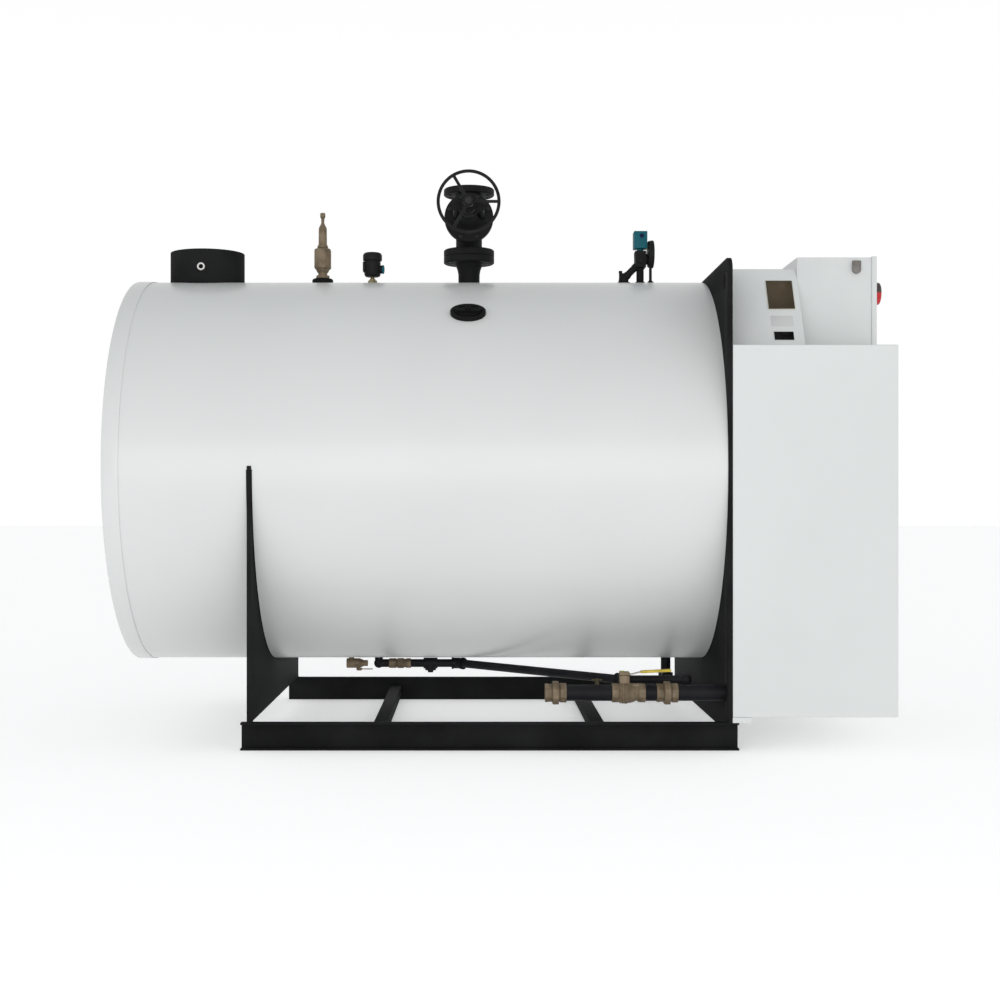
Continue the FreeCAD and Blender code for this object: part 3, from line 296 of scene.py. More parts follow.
def bead(start, end, radius=0.0028, pitch=0.005):
    """A weld bead: a thin rod with the ripples that the welder's hand leaves."""
    run = Vector(end) - Vector(start)
    count = max(2, int(run.length / pitch))
    steps = [(0.0, radius * 0.4)]
    for number in range(count):
        along = run.length * (number + 0.5) / count
        steps.append((along - pitch * 0.2, radius))
        steps.append((along + pitch * 0.3, radius * 0.86))
    steps.append((run.length, radius * 0.4))
    piece = stood(turned(steps, 8), start, run.normalized())
    bpy.ops.object.shade_smooth()
    return piece


black_paint = paint("satin_black_paint", (0.01, 0.0102, 0.0104), (0.0165, 0.0168, 0.0172), 0.72, 5,
    300, 0.12, gloss=0.035)
softened("skid_rail_left", "left_rail", 0.0012, black_paint)
softened("skid_rail_right", "right_rail", 0.0012, black_paint)
softened("cross_member_rear", "rear_cross_tube", 0.004, black_paint)
softened("cross_member_front", "front_cross_tube", 0.004, black_paint)

welds = []
for tube in ("cross_member_rear", "cross_member_front"):
    low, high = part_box(tube)
    for y in (low[1], high[1]):
        welds.append(bead((low[0], y, high[2]), (high[0], y, high[2])))
        welds.append(bead((low[0], y, low[2]), (low[0], y, high[2])))
        welds.append(bead((high[0], y, low[2]), (high[0], y, high[2])))
PLATE_WELD = 0.04
low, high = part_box("rear_saddle")
for start, end in ((low[1], low[1] + PLATE_WELD), (high[1] - PLATE_WELD, high[1])):
    for x in (low[0], high[0]):
        welds.append(bead((x, start, low[2]), (x, end, low[2])))
low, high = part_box("front_plate")
rail_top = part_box("skid_rail_left")[1][2]
for start, end in ((low[1], low[1] + PLATE_WELD), (high[1] - PLATE_WELD, high[1])):
    welds.append(bead((low[0], start, rail_top), (low[0], end, rail_top)))
fitted(joined(welds), "skid_welds", black_paint)


# ---------------------------------------- saddle and front plate
# Two flame-cut steel plates stand across the rails and carry the drum: a low saddle at
# the rear and a tall plate with lifting holes at the burner end. Both are welded on.

softened("rear_saddle", "saddle_plate", 0.0012, black_paint)
softened("front_plate", "burner_end_plate", 0.0012, black_paint)

DRUM_HEIGHT = 1.0454
DRUM_RADIUS = 0.775


def weld_line(name, points, closed=False):
    """A round bead of weld that follows a line of points, made a mesh."""
    bpy.ops.object.select_all(action="DESELECT")
    line = bpy.data.curves.new(name, "CURVE")
    line.dimensions = "3D"
    line.bevel_depth = 0.003
    line.bevel_resolution = 2
    line.use_fill_caps = not closed
    spline = line.splines.new("POLY")
    spline.points.add(len(points) - 1)
    for point, place in zip(spline.points, points):
        point.co = (*place, 1)
    spline.use_cyclic_u = closed
    rod = bpy.data.objects.new(name, line)
    bpy.context.scene.collection.objects.link(rod)
    pick(rod)
    bpy.ops.object.convert(target="MESH")
    rod = bpy.context.object
    bpy.ops.object.shade_smooth()
    return fitted(rod, name, black_paint)


SADDLE_ARC = 89
ARC_STEPS = 120
SADDLE_WELD_REACH = DRUM_RADIUS + 0.001
low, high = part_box("rear_saddle")
for label, x in (("rear", low[0]), ("front", high[0])):
    arc = []
    for number in range(ARC_STEPS + 1):
        angle = math.radians(-SADDLE_ARC + 2 * SADDLE_ARC * number / ARC_STEPS)
        arc.append((x, -SADDLE_WELD_REACH * math.sin(angle),
            DRUM_HEIGHT - SADDLE_WELD_REACH * math.cos(angle)))
    weld_line("saddle_weld_" + label, arc)


# ---------------------------------------- the drum's jacket
# Rolled sheet steel wrapped over the insulation and stove-enamelled white. The flue comes up
# through a round hole in it, which ends in a blind bore. The bore's walls are sooty, and its floor
# is painted near-black as painted shade for the open flue below.

enamel = paint("white_enamel", (0.64, 0.655, 0.65), (0.663, 0.678, 0.673), 0.32, 1.2, 160, 0.02,
    gloss=0.4, coat=0.12)
# Soot and painted shade: one near-black finish for the flue's sooty walls and for dark openings
# that stand for shade.
soot_and_painted_shade = paint("flue_soot", (0.004, 0.004, 0.004), (0.012, 0.011, 0.01), 0.9, 20, 200, 0.4,
    gloss=0.1)


def centre(node):
    """The middle of a CAD piece's box."""
    low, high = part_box(node)
    return [(a + b) / 2 for a, b in zip(low, high)]


TO_BURNER = (1, 0, 0)
jacket_low, jacket_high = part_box("jacket_shell")
vent_x = centre("vent_collar")[0]
FLUE_BORE = 0.1474
FLUE_FOOT = 1.3
FLUE_EDGE = 1.7
jacket = turned([(0, DRUM_RADIUS), (jacket_high[0] - jacket_low[0], DRUM_RADIUS)], 256)
stood(jacket, (jacket_low[0], 0, DRUM_HEIGHT), TO_BURNER)
flue = turned([(1.35, FLUE_BORE * 0.9), (1.36, FLUE_BORE), (2.0, FLUE_BORE)], 96)
stood(flue, (vent_x, 0, 0))


def bored(piece, cutter):
    """Cut the cutter's shape out of a piece, then throw the cutter away."""
    pick(piece)
    hole = piece.modifiers.new("hole", "BOOLEAN")
    hole.operation = "DIFFERENCE"
    hole.object = cutter
    bpy.ops.object.modifier_apply(modifier="hole")
    bpy.data.objects.remove(cutter, do_unlink=True)
    return piece


bored(jacket, flue)
smoothed(jacket)
fitted(jacket, "drum_jacket", enamel, "jacket_shell")
# The bore's walls take the soot finish. Its floor, where the open flue would run on down, is
# painted shade.
jacket.data.materials.append(soot_and_painted_shade)
for face in jacket.data.polygons:
    away = math.hypot(face.center.x - vent_x, face.center.y)
    if away < FLUE_BORE and FLUE_FOOT < face.center.z < FLUE_EDGE:
        face.material_index = 1


# ---------------------------------------- the rear end
# A shallow spun cap closes the jacket at the back, lapped over the sheet, and a flat
# round cover is bolted over the access opening in the middle of it.

TO_REAR = (-1, 0, 0)
cap_low, cap_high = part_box("rear_end_cap")
cap_radius = cap_high[1]
cap = turned([(0, cap_radius - 0.0024), (0, cap_radius - 0.0004), (0.0004, cap_radius),
    (cap_high[0] - cap_low[0] - 0.004, cap_radius), (cap_high[0] - cap_low[0] - 0.001,
    cap_radius - 0.0015), (cap_high[0] - cap_low[0], cap_radius - 0.005)], 256)
smoothed(stood(cap, (cap_high[0], 0, DRUM_HEIGHT), TO_REAR), 40)
fitted(cap, "rear_cap_spinning", enamel, "rear_end_cap")

cover_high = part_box("rear_access_cover")[1]
lid = turned([(0, 0.308), (0.002, 0.31), (0.006, 0.31), (0.008, 0.308), (0.008, 0.262),
    (0.0125, 0.256), (0.014, 0.25), (0.014, 0.05)], 128)
smoothed(stood(lid, (cover_high[0], 0, DRUM_HEIGHT), TO_REAR), 25)
fitted(lid, "access_cover_pan", enamel, "rear_access_cover")

zinc = paint("zinc_plated_bolts", (0.3, 0.3, 0.29), (0.42, 0.42, 0.4), 0.38, 40, 500, 0.15,
    metal=0.8)
COVER_BOLTS = 16
COVER_BOLT_CIRCLE = 0.286
bolts = []
for number in range(COVER_BOLTS):
    angle = 2 * math.pi * (number + 0.5) / COVER_BOLTS
    spot = (cover_high[0] - 0.008, COVER_BOLT_CIRCLE * math.sin(angle),
        DRUM_HEIGHT + COVER_BOLT_CIRCLE * math.cos(angle))
    washer = stood(turned([(0, 0.010), (0.0012, 0.010), (0.0014, 0.0095)], 24), spot, TO_REAR)
    head = turned([(0.001, 0.0075), (0.0048, 0.0075), (0.0058, 0.0062)], 6)
    bolts += [washer, stood(head, spot, TO_REAR, 15 * number)]
fitted(joined(bolts), "access_cover_bolts", zinc)


# ---------------------------------------- the flue stub
# A short length of heavy black tube for the chimney to sit on, welded round its foot,
# with a plated half coupling in its side for a draught test.

softened("vent_collar", "flue_stub", 0.0008, black_paint)
FOOT_WELD_STEPS = 96


def foot_weld(name, x, radius):
    """The bead where an upright tube stands on top of the drum."""
    points = []
    for number in range(FOOT_WELD_STEPS):
        angle = 2 * math.pi * number / FOOT_WELD_STEPS
        side = radius * math.sin(angle)
        top = DRUM_HEIGHT + math.sqrt(DRUM_RADIUS ** 2 - side ** 2)
        points.append((x + radius * math.cos(angle), side, top))
    return weld_line(name, points, closed=True)


foot_weld("flue_stub_weld", vent_x, 0.1535)

TO_FRONT = (0, -1, 0)
plated = paint("plated_steel", (0.4, 0.39, 0.38), (0.55, 0.54, 0.53), 0.35, 14, 500, 0.1,
    metal=0.6)
test_middle = centre("vent_test_coupling")
test_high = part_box("vent_test_coupling")[1]
coupling = turned([(0.0, 0.015), (0.0, 0.0155), (0.0142, 0.016), (0.0154, 0.015), (0.0154, 0.0095),
    (0.014, 0.0088), (0.002, 0.0088)], 40)
smoothed(stood(coupling, (vent_x, test_high[1], test_middle[2]), TO_FRONT))
fitted(coupling, "draught_test_coupling", plated, "vent_test_coupling")
# Painted shade: a near-black disc on the floor of the coupling's short bore stands for the shaded
# opening into the flue.
throat = turned([(0.0, 0.0090), (0.0012, 0.0089)], 32)
stood(throat, (vent_x, test_high[1] - 0.0022, test_middle[2]), TO_FRONT)
fitted(throat, "draught_test_throat", soot_and_painted_shade)


# ---------------------------------------- the safety valve
# A bronze pop valve on a black half coupling: hexagon foot, waist, eight-sided body,
# spring bonnet, spindle and a small hexagon cap. Its outlet points to the far side.

bronze = paint("aged_bronze", (0.115, 0.085, 0.052), (0.215, 0.165, 0.108), 0.5, 26, 300, 0.25,
    metal=0.25, gloss=0.3)
cast_iron = paint("black_cast_iron", (0.006, 0.006, 0.0062), (0.012, 0.0122, 0.0125), 0.62, 9, 240,
    0.5, gloss=0.1)
TO_BACK = (0, 1, 0)
FLAT_UP = 22.5
BUSH_FOOT = 1.805
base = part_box("safety_valve_bushing")[1][2]
safety_x = centre("safety_valve_bushing")[0]
bush = turned([(0, 0.0435), (base - BUSH_FOOT - 0.005, 0.0435), (base - BUSH_FOOT, 0.0385),
    (base - BUSH_FOOT, 0.025)], 56)
stood(bush, (safety_x, 0, BUSH_FOOT))
eased(bush, 0.0012)
fitted(bush, "safety_valve_half_coupling", cast_iron, "safety_valve_bushing")

parts = [
    stood(turned([(0, 0.0285), (0.0015, 0.0305), (0.0115, 0.0305), (0.013, 0.0285),
        (0.013, 0.022)], 6), (safety_x, 0, base), turn=12),
    stood(turned([(0.012, 0.0215), (0.017, 0.019), (0.024, 0.0189), (0.027, 0.0225),
        (0.0385, 0.0285), (0.042, 0.029)]), (safety_x, 0, base)),
    stood(turned([(0.0385, 0.029), (0.044, 0.0362), (0.048, 0.0365), (0.118, 0.0365),
        (0.122, 0.035), (0.1255, 0.03), (0.1255, 0.021)], 8), (safety_x, 0, base), turn=FLAT_UP),
    stood(turned([(0.124, 0.0205), (0.128, 0.0205), (0.129, 0.0222), (0.137, 0.0222),
        (0.139, 0.019), (0.1425, 0.0185), (0.144, 0.0176), (0.208, 0.0168), (0.213, 0.016),
        (0.2225, 0.011), (0.2285, 0.0078), (0.236, 0.006), (0.24, 0.0068), (0.2515, 0.0068)]),
        (safety_x, 0, base)),
    stood(turned([(0.2515, 0.0075), (0.255, 0.0098), (0.2575, 0.011), (0.2715, 0.011),
        (0.2744, 0.0095), (0.2744, 0.004)], 6), (safety_x, 0, base), turn=30),
]
outlet_z = base + 0.0823
parts.append(stood(turned([(0.02, 0.024), (0.04, 0.024)]), (safety_x, 0, outlet_z), TO_BACK))
parts.append(stood(turned([(0.038, 0.0245), (0.04, 0.0262), (0.0595, 0.0262), (0.062, 0.0245),
    (0.062, 0.0175), (0.0605, 0.0168), (0.04, 0.0168)], 40), (safety_x, 0, outlet_z), TO_BACK))
for part in parts:
    eased(part, 0.0006)
fitted(joined(parts), "safety_valve_bronze", bronze, "safety_valve")
ring = stood(turned([(0.0, 0.0365), (0.0, 0.0371), (0.003, 0.0371), (0.003, 0.036)], 8),
    (safety_x, 0, base + 0.048), turn=FLAT_UP)
fitted(eased(ring, 0.0005), "safety_valve_body_rib", bronze)


# ---------------------------------------- the level probe
# A brass nipple in the shell top carries a black moulded can with a ribbed screw lid.
# The side entry takes a teal plug.

brass = paint("plain_brass", (0.17, 0.15, 0.07), (0.28, 0.24, 0.12), 0.42, 30, 260, 0.15,
    metal=0.5)
case_black = paint("black_moulded_case", (0.008, 0.008, 0.0085), (0.013, 0.013, 0.0135), 0.5, 12,
    700, 0.2, gloss=0.12)
teal = paint("teal_moulded_case", (0.004, 0.088, 0.115), (0.008, 0.125, 0.155), 0.5, 20, 600, 0.12,
    gloss=0.15)
probe_low, probe_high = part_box("probe_housing")
probe_x = centre("probe_housing")[0]
NIPPLE_FOOT = 1.810
nipple = [
    stood(turned([(0, 0.0205), (0.0245, 0.021), (0.026, 0.019), (0.026, 0.01)], 6),
        (probe_x, 0, NIPPLE_FOOT), turn=10),
    stood(turned([(0.02, 0.0125), (0.032, 0.0125), (0.034, 0.008), (0.0425, 0.008)], 32),
        (probe_x, 0, NIPPLE_FOOT)),
]
for part in nipple:
    eased(part, 0.0006)
fitted(joined(nipple), "probe_hexagon_nipple", brass, "probe_nipple")

foot = probe_low[2]
can = [stood(turned([(0, 0.026), (0.003, 0.031), (0.01, 0.034), (0.066, 0.034), (0.066, 0.03)],
    64), (probe_x, 0, foot))]
lid = turned([(0.066, 0.036), (0.068, 0.0394), (0.09, 0.0394), (0.097, 0.036), (0.1, 0.03),
    (0.1, 0.02), (0.0985, 0.019), (0.0985, 0.008)], 48)
can.append(stood(lid, (probe_x, 0, foot)))


def swung(piece, at, angles):
    """Turn a piece about its own origin and set it down at its place."""
    piece.rotation_euler = angles
    piece.location = at
    return baked(piece)


LID_RIBS = 24
for number in range(LID_RIBS):
    angle = 2 * math.pi * number / LID_RIBS
    rib = block((-0.0012, 0.0375, foot + 0.069), (0.0012, 0.0397, foot + 0.089), 0.0005, 1)
    can.append(swung(rib, (probe_x, 0, 0), (0, 0, angle)))
port_z = centre("probe_plug")[2]
can.append(stood(turned([(0.02, 0.0165), (0.036, 0.0165), (0.037, 0.018), (0.0393, 0.018),
    (0.0396, 0.0172)], 40), (probe_x, 0, port_z), TO_BURNER))
can.append(block((probe_x - 0.0393, -0.02, foot + 0.02), (probe_x - 0.028, 0.02, foot + 0.062),
    0.003))
for part in can[:2] + can[-2:]:
    eased(part, 0.0008)
fitted(joined(can), "probe_can", case_black, "probe_housing")
plug = turned([(0.0, 0.015), (0.0015, 0.0178), (0.0045, 0.019), (0.007, 0.0178), (0.0095, 0.014),
    (0.0105, 0.009)], 40)
smoothed(stood(plug, (probe_high[0], 0, port_z), TO_BURNER), 50)
fitted(plug, "probe_entry_plug", teal, "probe_plug")


# ---------------------------------------- the handhole
# A forged oval ring on the drum's shoulder with an oval cover inside it. A bowed yoke
# bears on the ring, and one stud and nut pull the cover up to its gasket.


def dress(finish, *names):
    """Give CAD pieces that keep their own shape their finish."""
    for name in names:
        cad[name].data.materials.clear()
        cad[name].data.materials.append(finish)


dress(cast_iron, "handhole_ring", "handhole_cover")
HANDHOLE_LEAN = math.radians(49.8)
hand_out = Vector((0, -math.cos(HANDHOLE_LEAN), math.sin(HANDHOLE_LEAN)))
hand_at = Vector((centre("handhole_ring")[0], 0, DRUM_HEIGHT)) + hand_out * DRUM_RADIUS
yoke = []
for side in (-1, 1):
    yoke.append(block((min(0, side * 0.047), -0.0085, 0.0135),
        (max(0, side * 0.047), 0.0085, 0.0225), 0.003, 3))
    yoke.append(stood(turned([(0.006, 0.0075), (0.0135, 0.0085), (0.0215, 0.0105),
        (0.0245, 0.0085)], 24), (side * 0.0405, 0, 0)))
    eased(yoke[-1], 0.001)
yoke.append(eased(turned([(0.006, 0.006), (0.040, 0.006), (0.042, 0.0045)], 20), 0.0004))
yoke.append(eased(turned([(0.0225, 0.012), (0.024, 0.0125), (0.032, 0.0125), (0.034, 0.0105),
    (0.034, 0.006)], 6), 0.0006))
fitted(stood(joined(yoke), hand_at, hand_out), "handhole_yoke", cast_iron)


# ---------------------------------------- steam nozzle and valve
# A welded neck with a heavy flange carries an iron gate valve. The valve's lower flange
# is drawn down with studs, and its bonnet is bolted on towards the front.

steam_x = centre("steam_nozzle")[0]
flange_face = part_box("steam_nozzle")[1][2]
FLANGE = 0.1048
FLANGE_THICK = 0.0286
BOLT_CIRCLE = 0.08415
BOLT_HOLE = 0.0111


def stud_holes(low, high):
    """The eight holes of a flange, two to each quarter and none on the centre lines."""
    drills = []
    for number in range(8):
        angle = math.radians(22.5 + 45 * number)
        spot = (steam_x + BOLT_CIRCLE * math.cos(angle), BOLT_CIRCLE * math.sin(angle), 0)
        drills.append(stood(turned([(low, BOLT_HOLE), (high, BOLT_HOLE)], 24), spot))
    return joined(drills)


NECK_FOOT = 1.790
rise = flange_face - NECK_FOOT
neck = turned([(0, 0.044), (rise - 0.0736, 0.04445), (rise - 0.056, 0.0475), (rise - 0.033, 0.056),
    (rise - FLANGE_THICK, 0.06), (rise - FLANGE_THICK, FLANGE - 0.004),
    (rise - FLANGE_THICK + 0.004, FLANGE), (rise - 0.0025, FLANGE), (rise, FLANGE - 0.0025),
    (rise, 0.06)], 96)
stood(neck, (steam_x, 0, NECK_FOOT))
bored(neck, stud_holes(flange_face - 0.05, flange_face + 0.05))
eased(neck, 0.0012)
fitted(neck, "steam_neck_flange", cast_iron, "steam_nozzle")
foot_weld("steam_neck_weld", steam_x, 0.0452)

valve_low, valve_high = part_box("steam_valve_body")
span = valve_high[2] - valve_low[2]
middle = span / 2
BELLY = 0.078
VALVE_NECK = 0.054
steps = [(0, FLANGE - 0.0025), (0.0025, FLANGE), (FLANGE_THICK - 0.004, FLANGE),
    (FLANGE_THICK, FLANGE - 0.004), (FLANGE_THICK, 0.062), (FLANGE_THICK + 0.004, 0.0565),
    (FLANGE_THICK + 0.012, VALVE_NECK)]
for number in range(15):
    angle = math.radians(-46 + 92 * number / 14)
    steps.append((middle + BELLY * math.sin(angle), BELLY * math.cos(angle)))
steps += [(span - FLANGE_THICK - 0.012, VALVE_NECK), (span - FLANGE_THICK - 0.004, 0.0565),
    (span - FLANGE_THICK, 0.062), (span - FLANGE_THICK, FLANGE - 0.004),
    (span - FLANGE_THICK + 0.004, FLANGE), (span - 0.0035, FLANGE), (span, FLANGE - 0.0035),
    (span, 0.0381), (span - 0.0286, 0.0381)]
shell = stood(turned(steps, 96), (steam_x, 0, valve_low[2]))
bored(shell, joined([stud_holes(valve_low[2] - 0.05, valve_low[2] + 0.05),
    stud_holes(valve_high[2] - 0.05, valve_high[2] + 0.05)]))
eased(shell, 0.0012)
stem_z = centre("steam_valve_body")[2]
joint_y = valve_low[1]
BONNET_FLANGE = 0.0998
branch = turned([(0, 0.07), (0.093, 0.07), (0.099, 0.074), (0.099, BONNET_FLANGE - 0.003),
    (0.102, BONNET_FLANGE), (0.121, BONNET_FLANGE), (0.123, BONNET_FLANGE - 0.002), (0.123, 0.05)],
    96)
eased(stood(branch, (steam_x, 0, stem_z), TO_FRONT), 0.001)
fitted(joined([shell, branch]), "gate_valve_casting", cast_iron, "steam_valve_body")

bonnet = [stood(turned([(0, 0.05), (0, BONNET_FLANGE - 0.002), (0.002, BONNET_FLANGE),
    (0.021, BONNET_FLANGE), (0.024, BONNET_FLANGE - 0.003), (0.024, 0.066), (0.028, 0.06),
    (0.04, 0.052), (0.0572, 0.044), (0.08, 0.0385), (0.107, 0.03), (0.107, 0.0265), (0.109, 0.026),
    (0.131, 0.026), (0.133, 0.0245), (0.133, 0.012)], 96), (steam_x, joint_y, stem_z), TO_FRONT)]
for side in (-1, 1):
    arm = turned([(0.015, 0.015), (0.03, 0.0125), (0.06, 0.011), (0.24, 0.0105), (0.262, 0.011),
        (0.2765, 0.011)], 32)
    bonnet.append(stood(arm, (steam_x + side * 0.052, joint_y, stem_z), TO_FRONT))
bonnet.append(block((steam_x - 0.063, -0.4, stem_z - 0.0187),
    (steam_x + 0.063, -0.378, stem_z + 0.0187), 0.006, 3))
bonnet.append(stood(turned([(0, 0.029), (0.002, 0.03), (0.034, 0.03), (0.038, 0.027),
    (0.038, 0.0116)], 64), (steam_x, -0.378, stem_z), TO_FRONT))
for part in (bonnet[0], bonnet[1], bonnet[2], bonnet[4]):
    eased(part, 0.001)
fitted(joined(bonnet), "bonnet_and_yoke", cast_iron, "steam_valve_bonnet")

stud_steel = paint("oiled_black_studs", (0.01, 0.01, 0.0105), (0.02, 0.0198, 0.0192), 0.45, 30,
    500, 0.2, metal=0.3, gloss=0.2)


def nut_and_end(spot, aim, flats, thick, stud, turn=0.0):
    """A hexagon nut drawn down on its face, with the rounded end of its stud."""
    nut = turned([(0, flats * 0.93), (thick * 0.14, flats), (thick * 0.86, flats),
        (thick, flats * 0.9), (thick, stud)], 6)
    end = turned([(0, stud), (thick + 0.0030, stud), (thick + 0.0042, stud * 0.75)], 16)
    return [stood(eased(nut, 0.0005), spot, aim, turn), stood(eased(end, 0.0003), spot, aim)]


def machined(steps, sides, at, aim=(0, 0, 1), turn=0.0, ease=0.0006):
    """A turned piece stood at its place, with its edges eased."""
    return eased(stood(turned(steps, sides), at, aim, turn), ease)


hardware = []
for number in range(8):
    angle = math.radians(22.5 + 45 * number)
    spot = (steam_x + BOLT_CIRCLE * math.cos(angle), BOLT_CIRCLE * math.sin(angle),
        flange_face - FLANGE_THICK + 0.0012)
    stud = turned([(0, BOLT_HOLE * 0.8), (0.0008, BOLT_HOLE * 0.98),
        (2 * FLANGE_THICK - 0.0032, BOLT_HOLE * 0.98), (2 * FLANGE_THICK - 0.0024,
        BOLT_HOLE * 0.8)], 24)
    hardware.append(stood(stud, spot))
    around = (steam_x + 0.084 * math.cos(angle), joint_y - 0.024, stem_z + 0.084 * math.sin(angle))
    hardware += nut_and_end(around, TO_FRONT, 0.0105, 0.0075, 0.0058, 15)
    behind = (around[0], joint_y + 0.024, around[2])
    hardware += nut_and_end(behind, TO_BACK, 0.0105, 0.0075, 0.0058, 15)
fitted(joined(hardware), "steam_valve_studs", stud_steel)

gland = turned([(0, 0.034), (0.001, 0.0352), (0.0075, 0.0352), (0.009, 0.0335), (0.009, 0.012)],
    48)
for vertex in gland.data.vertices:
    vertex.co.y *= 0.62
gland = [stood(eased(gland, 0.0008), (steam_x, -0.2555, stem_z), TO_FRONT)]
for side in (-1, 1):
    gland.append(machined([(0, 0.0045), (0.06, 0.0045)], 16, (steam_x + side * 0.0265, -0.207,
        stem_z), TO_FRONT, ease=0.0003))
    gland += nut_and_end((steam_x + side * 0.0265, -0.2645, stem_z), TO_FRONT, 0.008, 0.0065,
        0.0045)
    gland.append(machined([(0, 0.01), (0.006, 0.011), (0.02, 0.011), (0.023, 0.009)], 24,
        (steam_x + side * 0.0265, -0.19, stem_z - 0.004), TO_FRONT, ease=0.001))
fitted(joined(gland), "gland_follower", stud_steel)

steps = [(0, 0.0108), (0.024, 0.0110)]
for number in range(30):
    along = 0.026 + 0.004 * number
    steps += [(along, 0.0110), (along + 0.002, 0.0098)]
steps += [(0.150, 0.0108), (0.262, 0.0108)]
stem = [stood(turned(steps, 24), (steam_x, -0.230, stem_z), TO_FRONT)]
stem += [machined([(0, 0.0155), (0.0012, 0.017), (0.01, 0.017), (0.012, 0.0148), (0.012, 0.008)],
    6, (steam_x, -0.4913, stem_z), TO_FRONT)]
smoothed(stem[0], 50)
fitted(joined(stem), "valve_stem_threaded", stud_steel, "steam_valve_stem")


# ---------------------------------------- the handwheel
# A slender iron wheel: a round rim, three straight spokes and a hub on the stem's square. It keeps
# its CAD shape and takes one even black iron finish.

wheel_iron = paint("handled_black_iron", (0.007, 0.007, 0.0075), (0.014, 0.014, 0.0145), 0.5, 16,
    300, 0.35, gloss=0.12)
dress(wheel_iron, "steam_valve_handwheel")


# ---------------------------------------- the pressure controls
# A black iron manifold stands on two taps in the shell and carries a teal transmitter.
# Hexagon nipples, plugs and a dark window are screwed into them.

dress(cast_iron, "pressure_manifold")
case_low, case_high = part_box("pressure_transmitter")
tap_x = centre("pressure_transmitter")[0]
fittings = [
    machined([(0, 0.0195), (0.0105, 0.02), (0.012, 0.018), (0.012, 0.012)], 6, (tap_x, 0, 1.82),
        turn=20),
    machined([(0, 0.0165), (0.0075, 0.017), (0.009, 0.015), (0.009, 0.012)], 6, (tap_x, 0, 1.88),
        turn=20),
    machined([(0, 0.013), (0.006, 0.0135), (0.0075, 0.012), (0.0075, 0.004)], 6,
        (tap_x, -0.0295, 1.915), TO_FRONT),
    machined([(0, 0.013), (0.006, 0.0135), (0.0075, 0.012), (0.0075, 0.004)], 6,
        (tap_x, 0.0295, 1.915), TO_BACK),
    block((tap_x - 0.0225, -0.0305, 1.935), (tap_x + 0.0225, 0.0305, 1.956), 0.0025),
    machined([(0, 0.0285), (0.0035, 0.0295), (0.0065, 0.029), (0.008, 0.024)], 6,
        (tap_x - 0.0688, 0, 1.8195), turn=5, ease=0.0008),
    machined([(0, 0.008), (0.008, 0.0085), (0.0095, 0.007)], 6, (tap_x - 0.0814, 0, 1.867),
        ease=0.0004),
    machined([(0, 0.021), (0.0015, 0.0225), (0.0085, 0.0225), (0.01, 0.021)], 6,
        (tap_x + 0.0215, 0, 1.925), TO_BURNER, 30),
    machined([(0, 0.0155), (0.002, 0.0175), (0.02, 0.0175), (0.022, 0.0155)], 8,
        (tap_x - 0.064, 0, 1.847), (1, 0, 1), 22.5, ease=0.0008),
    machined([(0, 0.015), (0.002, 0.0172), (0.016, 0.0172), (0.018, 0.015)], 8,
        (tap_x - 0.026, 0, 1.885), (1, 0, 1), 22.5, ease=0.0008),
    machined([(0, 0.0145), (0.002, 0.0155), (0.044, 0.0155), (0.046, 0.0145)], 24,
        (tap_x, 0, 1.833), ease=0.0008),
    machined([(0, 0.018), (0.004, 0.019), (0.016, 0.008), (0.018, 0.0065)], 32,
        (tap_x + 0.0433, 0, 1.819), ease=0.0008),
]
fitted(joined(fittings), "manifold_nipples_and_plugs", cast_iron)

softened("pressure_transmitter", "transmitter_case", 0.0028, teal)
window = machined([(0, 0.009), (0.0004, 0.0092)], 32, (case_low[0] + 0.0315, case_low[1] - 0.0001,
    case_high[2] - 0.0197), TO_FRONT, ease=0.0002)
deep_blue = paint("dark_blue_lens", (0.003, 0.006, 0.035), (0.005, 0.012, 0.06), 0.4, 40, 300,
    0.02, gloss=0.1)
fitted(window, "transmitter_lens", deep_blue)
trim = [block((case_low[0] - 0.0001, case_low[1] + 0.004, case_low[2] + 0.0105),
    (case_low[0] + 0.01, case_low[1] + 0.058, case_low[2] + 0.02), 0.001)]
for x in (case_low[0] + 0.007, case_high[0] - 0.007):
    for z in (case_low[2] + 0.018, case_high[2] - 0.007):
        trim.append(machined([(0, 0.0022), (0.0004, 0.0022), (0.0008, 0.0014)], 12,
            (x, case_low[1], z), TO_FRONT, ease=0.0001))
fitted(joined(trim), "transmitter_case_screws", teal)


# ---------------------------------------- the pressure gauge
# A round dial gauge in a black pressed case stands on its siphon and faces the burner
# end. The dial is white with black marks, behind a rolled bezel.

pipe_black = paint("black_steel_pipe", (0.006, 0.006, 0.0075), (0.013, 0.013, 0.015), 0.5, 7, 180,
    0.15, gloss=0.12)
dress(pipe_black, "gauge_siphon")
gauge_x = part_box("pressure_gauge")[0][0]
gauge_z = centre("pressure_gauge")[2]
case = turned([(0, 0.048), (0.001, 0.053), (0.005, 0.056), (0.012, 0.0565), (0.0125, 0.0575),
    (0.0215, 0.0575), (0.024, 0.055), (0.024, 0.0515), (0.0225, 0.05), (0.0185, 0.05)], 96)
eased(stood(case, (gauge_x, 0, gauge_z), TO_BURNER), 0.0006)
fitted(case, "gauge_case", case_black, "pressure_gauge")
dial_white = paint("dial_white", (0.70, 0.70, 0.68), (0.76, 0.76, 0.74), 0.5, 30, 300, 0.02)
dial = turned([(0.0180, 0.0496), (0.0192, 0.0499), (0.0193, 0.0490)], 96)
stood(dial, (gauge_x, 0, gauge_z), TO_BURNER)
fitted(dial, "gauge_dial", dial_white)
DIAL_START = -135
marks = []
